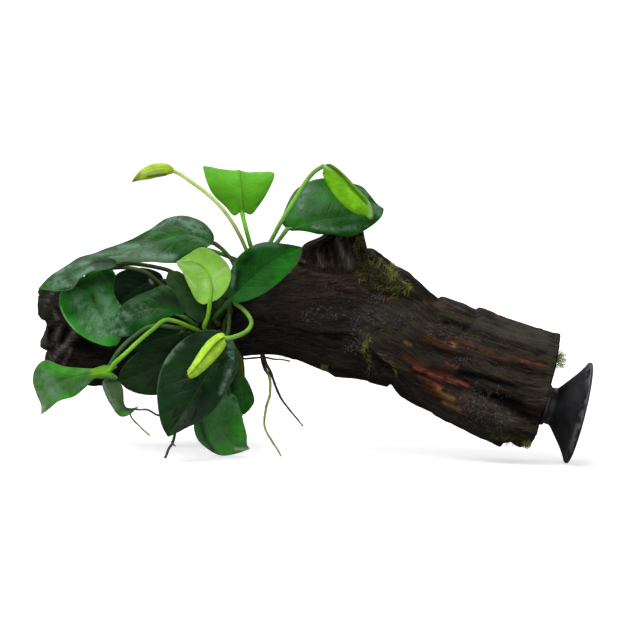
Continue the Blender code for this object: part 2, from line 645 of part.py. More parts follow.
def petiole_path(root, over, places, last_point):
    """A petiole's way from the rhizome, over the wood where it must, to its last point."""
    points = [rhizome_point(*root, CLEARANCE), rhizome_point(*root, 1.6 * MM)]
    points += [trunk_point(column, angle, PETIOLE_RADIUS + 1.2 * MM) for column, angle in over]
    points += [photo_point(*p) for p in places]
    return Path(points + [last_point])


def blade_ring(rib, left, right, t, thickness):
    """A ring across the blade, thickest at the midrib and sharp at the margins."""
    middle, a, b = rib.at(t), left.at(t), right.at(t)
    side = b - a
    normal = side.cross(rib.direction(t)).normalized()
    half, bow = side / 2, (a + b) / 2 - middle
    ring = []
    for share in BLADE_SIDES:
        rise = normal * (thickness * 0.5 * (1 - share * share))
        ring.append(middle + half * share + bow * share * share + rise)
    ring.append(middle - normal * (thickness * 0.5))
    return ring


def make_leaf(name, leaf):
    rib, left, right = blade_paths(leaf)
    thickness = leaf.get("thickness", LEAF_THICKNESS / MM) * MM
    stalk = petiole_path(leaf["root"], leaf.get("over", ()), leaf["petiole"], rib.at(0))
    side = right.at(0.3) - left.at(0.3)
    steps = max(4, min(7, len(leaf.get("over", ())) + len(leaf["petiole"]) + 2))
    fractions = [i / steps for i in range(steps)] + [0.985]
    rings = carried_rings(stalk, fractions, side, [PETIOLE_RADIUS] * len(fractions))
    for t in leaf.get("stations", BLADE_STATIONS):
        taper = min(1.0, (1 - t) / 0.3)
        rings.append(blade_ring(rib, left, right, t, thickness * taper))
    points, faces = turned_outward(*loft(rings, end_point=rib.at(1)))
    add_piece(name, points, faces, leaf["material"])


def make_bud(name, bud):
    body = [photo_point(c, r, bud["depth"]) for c, r, _ in bud["body"]]
    stalk = petiole_path(bud["root"], (), bud["petiole"], body[0])
    side = Vector((0.0, 1.0, 0.0))
    fractions = [i / 8 for i in range(8)] + [0.97]
    rings = carried_rings(stalk, fractions, side, [PETIOLE_RADIUS] * len(fractions))
    spine = Path(body)
    for point, knot, (_, _, width) in list(zip(body, spine.knots, bud["body"]))[:-1]:
        rings.append(ring_about(point, spine.direction(knot), side, width * MM))
    points, faces = turned_outward(*loft(rings, end_point=body[-1]))
    add_piece(name, points, faces, "leaf_rolled")


def make_tube(name, path, radii, material_name, sides=6):
    angles = [360 * i / sides for i in range(sides)]
    fractions = [i / (len(radii) - 1) for i in range(len(radii))]
    rings = carried_rings(path, fractions, Vector((0.3, 1.0, 0.2)), radii, angles)
    points, faces = turned_outward(*loft(rings))
    add_piece(name, points, faces, material_name)


def make_rhizome():
    radii = [RHIZOME_RADIUS * swell for swell in RHIZOME_SWELL]
    make_tube("rhizome", RHIZOME_PATH, radii, "rhizome_skin", sides=10)


def make_roots():
    for name, root in ROOTS.items():
        points = []
        if root["start"]:
            points = [rhizome_point(*root["start"], ROOT_RADIUS)]
        points += [trunk_point(c, a, ROOT_RADIUS + 1.0 * MM) for c, a in root["round_wood"]]
        points += [photo_point(*p) for p in root["hanging"]]
        count = 2 * len(points)
        radii = [ROOT_RADIUS * (1.0 - 0.35 * i / (count - 1)) for i in range(count)]
        make_tube(name, Path(points), radii, "root_skin", sides=5)


def trunk_ring(column, lift=0.0, share=1.0):
    middle = (TRUNK_TOP.at(column) + TRUNK_BOTTOM.at(column)) / 2
    ring = []
    for i in range(TRUNK_SIDES):
        place = trunk_point(column, 360 * i / TRUNK_SIDES, lift)
        ring.append(middle + (place - middle) * share)
    return ring


def end_point(height, depth, lift=0.0):
    """A place on the cut end, from 0 at its middle to 1 at its top, at a depth in mm."""
    top, bottom = TRUNK_TOP.at(TRUNK_COLUMNS[-1]), TRUNK_BOTTOM.at(TRUNK_COLUMNS[-1])
    up = (top - bottom) / 2
    normal = Vector((up.z, 0.0, -up.x)).normalized()
    return (top + bottom) / 2 + up * height + Vector((0.0, depth * MM, 0.0)) + normal * lift


def gnarled_end(height):
    """How far in mm the broken left end stands out at a height, from -1 at its underside to 1 on top."""
    lobes = 4.2 * bump(height, 0.62, 0.3) + 3.0 * bump(height, -0.22, 0.25) + 2.2 * bump(height, -0.9, 0.14)
    return lobes + 0.8


def gnarled_end_ring(share):
    """One ring of the broken left end, at a share of its first ring's size."""
    ring = trunk_ring(TRUNK_COLUMNS[0], 0.0, share)
    for i, point in enumerate(ring):
        height = share * math.sin(2 * math.pi * i / TRUNK_SIDES)
        point.x -= gnarled_end(height) * MM * (1 - share ** 6)
    return ring


def cut_end():
    """Middle of the suction cup's seat on the cut end, and the direction out of it along the cup."""
    rim_top, rim_bottom = photo_point(592.5, 362.4), photo_point(566.2, 463.7)
    up = (rim_top - rim_bottom).normalized()
    outward = Vector((up.z, 0.0, -up.x))
    rim_middle = (rim_top + rim_bottom) / 2
    end_top, end_bottom = TRUNK_TOP.at(TRUNK_COLUMNS[-1]), TRUNK_BOTTOM.at(TRUNK_COLUMNS[-1])
    end_up = (end_top - end_bottom).normalized()
    end_normal = Vector((end_up.z, 0.0, -end_up.x))
    reach = (rim_middle - end_top).dot(end_normal) / outward.dot(end_normal)
    return rim_middle - outward * reach, outward, reach


def driftwood_rings(lift=0.0, bored=True):
    first, last = TRUNK_COLUMNS[0], TRUNK_COLUMNS[-1]
    rings = [gnarled_end_ring(share) for share in GNARLED_END_SHARES]
    for i in range(TRUNK_RINGS):
        rings.append(trunk_ring(first + (last - first) * i / (TRUNK_RINGS - 1), lift))
    if bored:
        seat, outward, _ = cut_end()
        across = Vector((0.0, -1.0, 0.0))
        up = outward.cross(Vector((0.0, 1.0, 0.0)))
        for depth in (0.0, CUP_PEG_LENGTH + CLEARANCE):
            ring = []
            for i in range(TRUNK_SIDES):
                a = 2 * math.pi * i / TRUNK_SIDES
                arm = across * math.cos(a) + up * math.sin(a)
                ring.append(seat + arm * (CUP_PEG_RADIUS + CLEARANCE) - outward * depth)
            rings.append(ring)
    return rings


def make_driftwood():
    rings = driftwood_rings()
    points, faces = turned_outward(*loft(rings))
    return add_piece("driftwood_trunk", points, faces, "driftwood_bark")


def make_stub():
    rings = []
    for height in STUB_LEFT.knots:
        rings.append([stub_point(height, 360 * i / STUB_SIDES) for i in range(STUB_SIDES)])
    for i, point in enumerate(rings[-1]):
        point.z += (1.6 * math.sin(i * 2.4) - 0.6) * MM
    top = photo_point(*STUB_TOP, STUB_MIDDLE)
    points, faces = turned_outward(*loft(rings, end_point=top - Vector((0, 0, 2 * MM))))
    stub = add_piece("driftwood_stub", points, faces, "driftwood_stub_bark")
    points, faces = turned_outward(*loft(driftwood_rings(CLEARANCE, bored=False)))
    cutter = add_piece("cutter_trunk", points, faces, "driftwood_bark")
    cutter.hide_render = True
    cutter.display_type = "WIRE"
    cut = stub.modifiers.new("seat_on_trunk", "BOOLEAN")
    cut.operation = "DIFFERENCE"
    cut.solver = "EXACT"
    cut.object = cutter


def make_suction_cup():
    """Turned profile of peg, neck, flared skirt, flat lip and hollow dish, as (distance, radius)."""
    seat, outward, reach = cut_end()
    lip = reach
    rim = CUP_RIM_RADIUS
    profile = (
        (-CUP_PEG_LENGTH, CUP_PEG_RADIUS),
        (CLEARANCE * 2, CUP_PEG_RADIUS),
        (CLEARANCE * 2, CUP_NECK_RADIUS),
        (lip - 10.4 * MM, CUP_NECK_RADIUS),
        (lip - 8.6 * MM, 9.6 * MM),
        (lip - 5.2 * MM, 13.4 * MM),
        (lip - 1.2 * MM, rim - 0.3 * MM),
        (lip, rim),
        (lip, rim - 1.8 * MM),
        (lip - 2.6 * MM, 14.5 * MM),
        (lip - 5.6 * MM, 9.0 * MM),
        (lip - 6.6 * MM, 3.5 * MM),
    )
    across = Vector((0.0, 1.0, 0.0))
    up = outward.cross(across)
    rings = []
    for distance, radius in profile:
        ring = []
        for i in range(CUP_SIDES):
            a = 2 * math.pi * (i + 0.5) / CUP_SIDES
            ring.append(seat + outward * distance + (across * math.sin(a) + up * math.cos(a)) * radius)
        rings.append(ring)
    points, faces = turned_outward(*loft(rings))
    add_piece("suction_cup", points, faces, "cup_rubber", smooth=False)


def make_moss():
    steps = 5
    ground = {"trunk": trunk_point, "stub": stub_point, "end": end_point}
    for name, moss in MOSS.items():
        (c0, c1), (a0, a1) = moss["first"], moss["second"]
        surface = ground[moss["on"]]
        top, under = [], []
        for i in range(steps):
            for j in range(steps):
                x, y = i / (steps - 1), j / (steps - 1)
                rise = math.sin(math.pi * (0.12 + 0.76 * x)) * math.sin(math.pi * (0.12 + 0.76 * y))
                place = (c0 + (c1 - c0) * x, a0 + (a1 - a0) * y)
                top.append(surface(*place, (1.15 + moss["height"] * rise) * MM))
                under.append(surface(*place, 1.0 * MM))
        points = top + under
        faces = []
        size = steps * steps
        for i in range(steps - 1):
            for j in range(steps - 1):
                a = i * steps + j
                faces.append((a, a + 1, a + steps + 1, a + steps))
                faces.append((size + a, size + a + steps, size + a + steps + 1, size + a + 1))
        edge = [j for j in range(steps)]
        edge += [i * steps + steps - 1 for i in range(1, steps)]
        edge += [(steps - 1) * steps + j for j in range(steps - 2, -1, -1)]
        edge += [i * steps for i in range(steps - 2, 0, -1)]
        for a, b in zip(edge, edge[1:] + edge[:1]):
            faces.append((a, size + a, size + b, b))
        points, faces = turned_outward(points, faces)
        add_piece(name, points, faces, "moss_strands")


def main():
    for old in list(bpy.data.objects):
        bpy.data.objects.remove(old)
    make_driftwood()
    make_stub()
    make_suction_cup()
    make_rhizome()
    for name, leaf in LEAVES.items():
        make_leaf(name, leaf)
    make_bud("leaf_rolled_bud", BUD)
    make_roots()
    make_moss()


main()
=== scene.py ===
"""Dwarf anubias tied to a piece of driftwood, with a rubber suction cup.

These are its fine meshes and materials, the light and the camera. Places are in metres in the frame of the
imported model: +Z up, +X along the wood to the suction cup. Shapes are given as the photograph shows them, as
a column, a row and a depth in millimetres behind the middle of the wood, and photo_point() turns them into
real places. The data of the plant and the wood is that of the solids, which the fine pieces here stand for.
"""

import math
from collections import namedtuple
from types import SimpleNamespace

import bpy
import numpy as np
from mathutils import Matrix, Vector


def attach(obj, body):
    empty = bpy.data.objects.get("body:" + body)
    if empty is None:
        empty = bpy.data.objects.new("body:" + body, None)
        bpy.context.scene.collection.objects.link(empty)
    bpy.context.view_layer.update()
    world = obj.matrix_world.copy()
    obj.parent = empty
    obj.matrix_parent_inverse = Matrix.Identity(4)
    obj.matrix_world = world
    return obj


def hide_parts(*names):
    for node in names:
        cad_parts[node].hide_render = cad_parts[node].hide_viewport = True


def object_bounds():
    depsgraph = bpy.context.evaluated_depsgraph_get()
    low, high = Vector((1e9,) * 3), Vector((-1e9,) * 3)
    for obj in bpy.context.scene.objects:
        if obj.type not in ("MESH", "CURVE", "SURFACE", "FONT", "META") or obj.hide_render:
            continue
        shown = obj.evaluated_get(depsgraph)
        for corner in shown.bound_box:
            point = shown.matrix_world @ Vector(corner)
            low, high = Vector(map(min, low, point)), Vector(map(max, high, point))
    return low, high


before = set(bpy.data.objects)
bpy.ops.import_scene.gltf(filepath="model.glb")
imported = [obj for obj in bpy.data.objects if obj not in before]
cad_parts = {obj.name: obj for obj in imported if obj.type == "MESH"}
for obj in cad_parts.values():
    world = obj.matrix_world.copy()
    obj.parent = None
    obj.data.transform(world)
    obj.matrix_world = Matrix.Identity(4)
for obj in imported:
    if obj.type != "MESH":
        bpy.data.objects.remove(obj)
cad_low, cad_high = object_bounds()

MM = 0.001
BACKWARD = np.array((0.0, 1.0, 0.0))

# Viewing position of the photograph
FRAME_CENTRE = 313.5
FRAME_WIDTH = 627.0
FOCAL_PIXELS = 2612.5
SENSOR_WIDTH = 36.0
VIEW_DISTANCE = 1006 * MM
VIEW_DOWN = math.radians(4.0)
VIEW_ROLL = math.radians(2.1)
AIM = np.array((-1.5 * MM, 7.9 * MM, 54.2 * MM))
FORWARD = np.array((0.0, math.cos(VIEW_DOWN), -math.sin(VIEW_DOWN)))
UPWARD = np.array((0.0, math.sin(VIEW_DOWN), math.cos(VIEW_DOWN)))
RIGHTWARD = np.array((1.0, 0.0, 0.0))
EYE = AIM - FORWARD * VIEW_DISTANCE

# Real sizes
PIXEL_MM = 0.385
PIXEL = PIXEL_MM * MM
CLEARANCE = 0.3 * MM
CUP_PEG_RADIUS = 4.0 * MM
CUP_PEG_LENGTH = 9.0 * MM
RHIZOME_RADIUS = 3.1 * MM
PETIOLE_RADIUS = 0.8 * MM
ROOT_RADIUS = 0.6 * MM
RHIZOME_RING_MM = 2.6
RHIZOME_LIFT, PETIOLE_LIFT, ROOT_LIFT = 0.7 * MM, 1.2 * MM, 1.0 * MM
MARGIN_THICKNESS = 0.34 * MM
RIB_THICKNESS = 0.6 * MM
YOUNG_THICKNESS = 0.4 * MM
TRUNK_RADIUS = 21.0
STUB_HEIGHT = 28.0

# Rows along each mesh and points round it
TRUNK_ROWS, TRUNK_COUNT, END_ROWS, CUT_ROWS = 274, 224, 30, 16
STUB_ROWS, STUB_COUNT, STUB_TOP_ROWS = 110, 168, 16
BLADE_ROWS, BLADE_COLUMNS = 64, 29
ROLL_ROWS, ROLL_COLUMNS = 84, 57
STALK_ROWS, STALK_COUNT, RIB_ROWS = 36, 10, 26
RHIZOME_ROWS, RHIZOME_COUNT = 150, 28
ROOT_ROWS, ROOT_COUNT = 160, 8
STRAND_POINTS, STRAND_SIDES = 7, 3
STRAND_SIZE = STRAND_SIDES * STRAND_POINTS + 2
CUP_COUNT = 128

# Thinnest and thickest radii of threads and moss in mm, and the seeds of their random draws
HAIR_SIZES, WISP_SIZES, TUFT_SIZES = (0.08, 0.18), (0.07, 0.13), (0.08, 0.15)
HAIR_SEED, MOSS_SEED = 77, 100


def photo_point(column, row, depth=0.0):
    """The places that the photograph shows at columns and rows, at depths in millimetres."""
    du = np.asarray(column, float) - FRAME_CENTRE
    dv = np.asarray(row, float) - FRAME_CENTRE
    across = (du * math.cos(VIEW_ROLL) + dv * math.sin(VIEW_ROLL)) / FOCAL_PIXELS
    up = (du * math.sin(VIEW_ROLL) - dv * math.cos(VIEW_ROLL)) / FOCAL_PIXELS
    level = VIEW_DISTANCE * math.cos(VIEW_DOWN) + np.asarray(depth, float) * MM
    reach = level / (math.cos(VIEW_DOWN) + up * math.sin(VIEW_DOWN))
    ray = FORWARD + RIGHTWARD * across[..., None] + UPWARD * up[..., None]
    return EYE + ray * reach[..., None]


def photo_place(points):
    """The column and the row at which the photograph shows each point."""
    arm = np.asarray(points) - EYE
    reach = arm @ FORWARD
    across, up = arm @ RIGHTWARD / reach, arm @ UPWARD / reach
    du = (across * math.cos(VIEW_ROLL) + up * math.sin(VIEW_ROLL)) * FOCAL_PIXELS
    dv = (across * math.sin(VIEW_ROLL) - up * math.cos(VIEW_ROLL)) * FOCAL_PIXELS
    return FRAME_CENTRE + du, FRAME_CENTRE + dv


class Path:
    """A smooth curve through points, whose knots are the distances along it unless they are given."""

    def __init__(self, points, knots=None):
        self.points = np.array(points, float)
        if knots is None:
            steps = np.maximum(np.linalg.norm(np.diff(self.points, axis=0), axis=1), 1e-9)
            knots = np.concatenate(([0.0], np.cumsum(steps)))
            knots = knots / knots[-1]
        self.knots = np.array(knots, float)
        order = np.arange(len(self.points))
        low, high = np.maximum(order - 1, 0), np.minimum(order + 1, len(order) - 1)
        self.slopes = (self.points[high] - self.points[low]) / (self.knots[high] - self.knots[low])[:, None]

    def at(self, t):
        t = np.asarray(t, float)
        i = np.clip(np.searchsorted(self.knots, t, side="left") - 1, 0, len(self.points) - 2)
        width = (self.knots[i + 1] - self.knots[i])[..., None]
        x = (t - self.knots[i])[..., None] / width
        x2, x3 = x * x, x * x * x
        return (self.points[i] * (2 * x3 - 3 * x2 + 1) + self.points[i + 1] * (3 * x2 - 2 * x3)
                + self.slopes[i] * (width * (x3 - 2 * x2 + x)) + self.slopes[i + 1] * (width * (x3 - x2)))

    def direction(self, t):
        step = 1e-3 * (self.knots[-1] - self.knots[0])
        low = np.maximum(np.asarray(t, float) - step, self.knots[0])
        high = np.minimum(np.asarray(t, float) + step, self.knots[-1])
        return unit(self.at(high) - self.at(low))


def unit(v):
    return v / np.maximum(np.linalg.norm(v, axis=-1, keepdims=True), 1e-12)


def smooth_step(low, high, x):
    x = np.clip((x - low) / (high - low), 0.0, 1.0)
    return x * x * (3 - 2 * x)


def bump(x, middle, width):
    return np.exp(-(((x - middle) / width) ** 2))


def lattice(x, y, z, seed):
    """A repeatable number from 0 to 1 for each place with whole numbers."""
    n = (x * 374761393 + y * 668265263 + z * 2147483647 + seed * 974634777) & 0xFFFFFFFF
    n = ((n ^ (n >> 13)) * 1274126177) & 0xFFFFFFFF
    return ((n ^ (n >> 16)) & 0xFFFF) / 65535.0


def grain(places, seed=0):
    """Smooth random relief from -1 to 1, with lumps about one unit wide."""
    cell = np.floor(places).astype(np.int64)
    f = places - cell
    f = f * f * (3 - 2 * f)
    total = 0.0
    for dx in (0, 1):
        for dy in (0, 1):
            for dz in (0, 1):
                x, y, z = (np.abs(1 - d - f[..., i]) for i, d in enumerate((dx, dy, dz)))
                corner = lattice(cell[..., 0] + dx, cell[..., 1] + dy, cell[..., 2] + dz, seed)
                total = total + x * y * z * corner
    return total * 2 - 1


def layered_grain(places, layers, seed=0):
    total, size, share = 0.0, 1.0, 1.0
    for i in range(layers):
        total = total + share * grain(places * size, seed + i)
        size, share = size * 2.1, share * 0.5
    return total


# What the photograph shows

# Driftwood trunk: the top and bottom of its outline and its half depth in mm
TRUNK = (
    ((51, 296), (52, 364), 11),
    ((64, 288), (66, 375), 14),
    ((98, 284), (98, 386), 16),
    ((140, 283), (140, 380), 17),
    ((190, 281), (188, 367), 17),
    ((238, 272), (240, 356), 17),
    ((285, 262), (277, 355), 18),
    ((325, 256), (322, 370), 20),
    ((360, 248), (350, 376), 21),
    ((386, 257), (374, 384), 21),
    ((408, 270), (394, 389), 21),
    ((428, 287), (412, 402), 21),
    ((446, 299), (430, 412), 21),
    ((472, 306), (452, 423), 21.5),
    ((499, 314), (477, 435.5), 22),
    ((530, 323.5), (502, 445), 22),
    ((560, 333), (530, 446), 22),
)
TRUNK_COLUMNS = [(top[0] + bottom[0]) / 2 for top, bottom, _ in TRUNK]
TRUNK_TOP = Path([photo_point(*top) for top, _, _ in TRUNK], TRUNK_COLUMNS)
TRUNK_BOTTOM = Path([photo_point(*bottom) for _, bottom, _ in TRUNK], TRUNK_COLUMNS)
TRUNK_DEPTH = Path([(depth * MM,) for _, _, depth in TRUNK], TRUNK_COLUMNS)
UPPER_ROWS = [top[1] for top, _, _ in TRUNK]
LOWER_ROWS = [bottom[1] for _, bottom, _ in TRUNK]

# Broken stub of a side branch: left and right of its outline and the half depth in mm, from below up
STUB = (
    ((288, 300), (376, 300), 15),
    ((294, 272), (372, 274), 14.5),
    ((298, 254), (368, 256), 14),
    ((304, 244), (366, 245), 13),
    ((319, 237), (364, 236), 11),
    ((330, 230), (361, 228), 8.5),
)
STUB_MIDDLE = -2.0
STUB_TOP = (346, 223)
STUB_LEFT = Path([photo_point(*left, STUB_MIDDLE) for left, _, _ in STUB])
STUB_RIGHT = Path([photo_point(*right, STUB_MIDDLE) for _, right, _ in STUB], STUB_LEFT.knots)
STUB_DEPTH = Path([(depth * MM,) for _, _, depth in STUB], STUB_LEFT.knots)

# Rhizome: trunk column and angle of its middle line, from the upper crown to the lower one
RHIZOME = ((262, 66), (250, 52), (238, 36), (226, 20), (213, 4), (200, -10), (190, -18))
# How thick it is along its length, as a share of its radius
RHIZOME_SWELL = (0.5, 0.95, 1.05, 0.92, 1.08, 0.95, 1.1, 0.92, 1.06, 0.95, 1.08, 0.94, 1.0, 0.55)

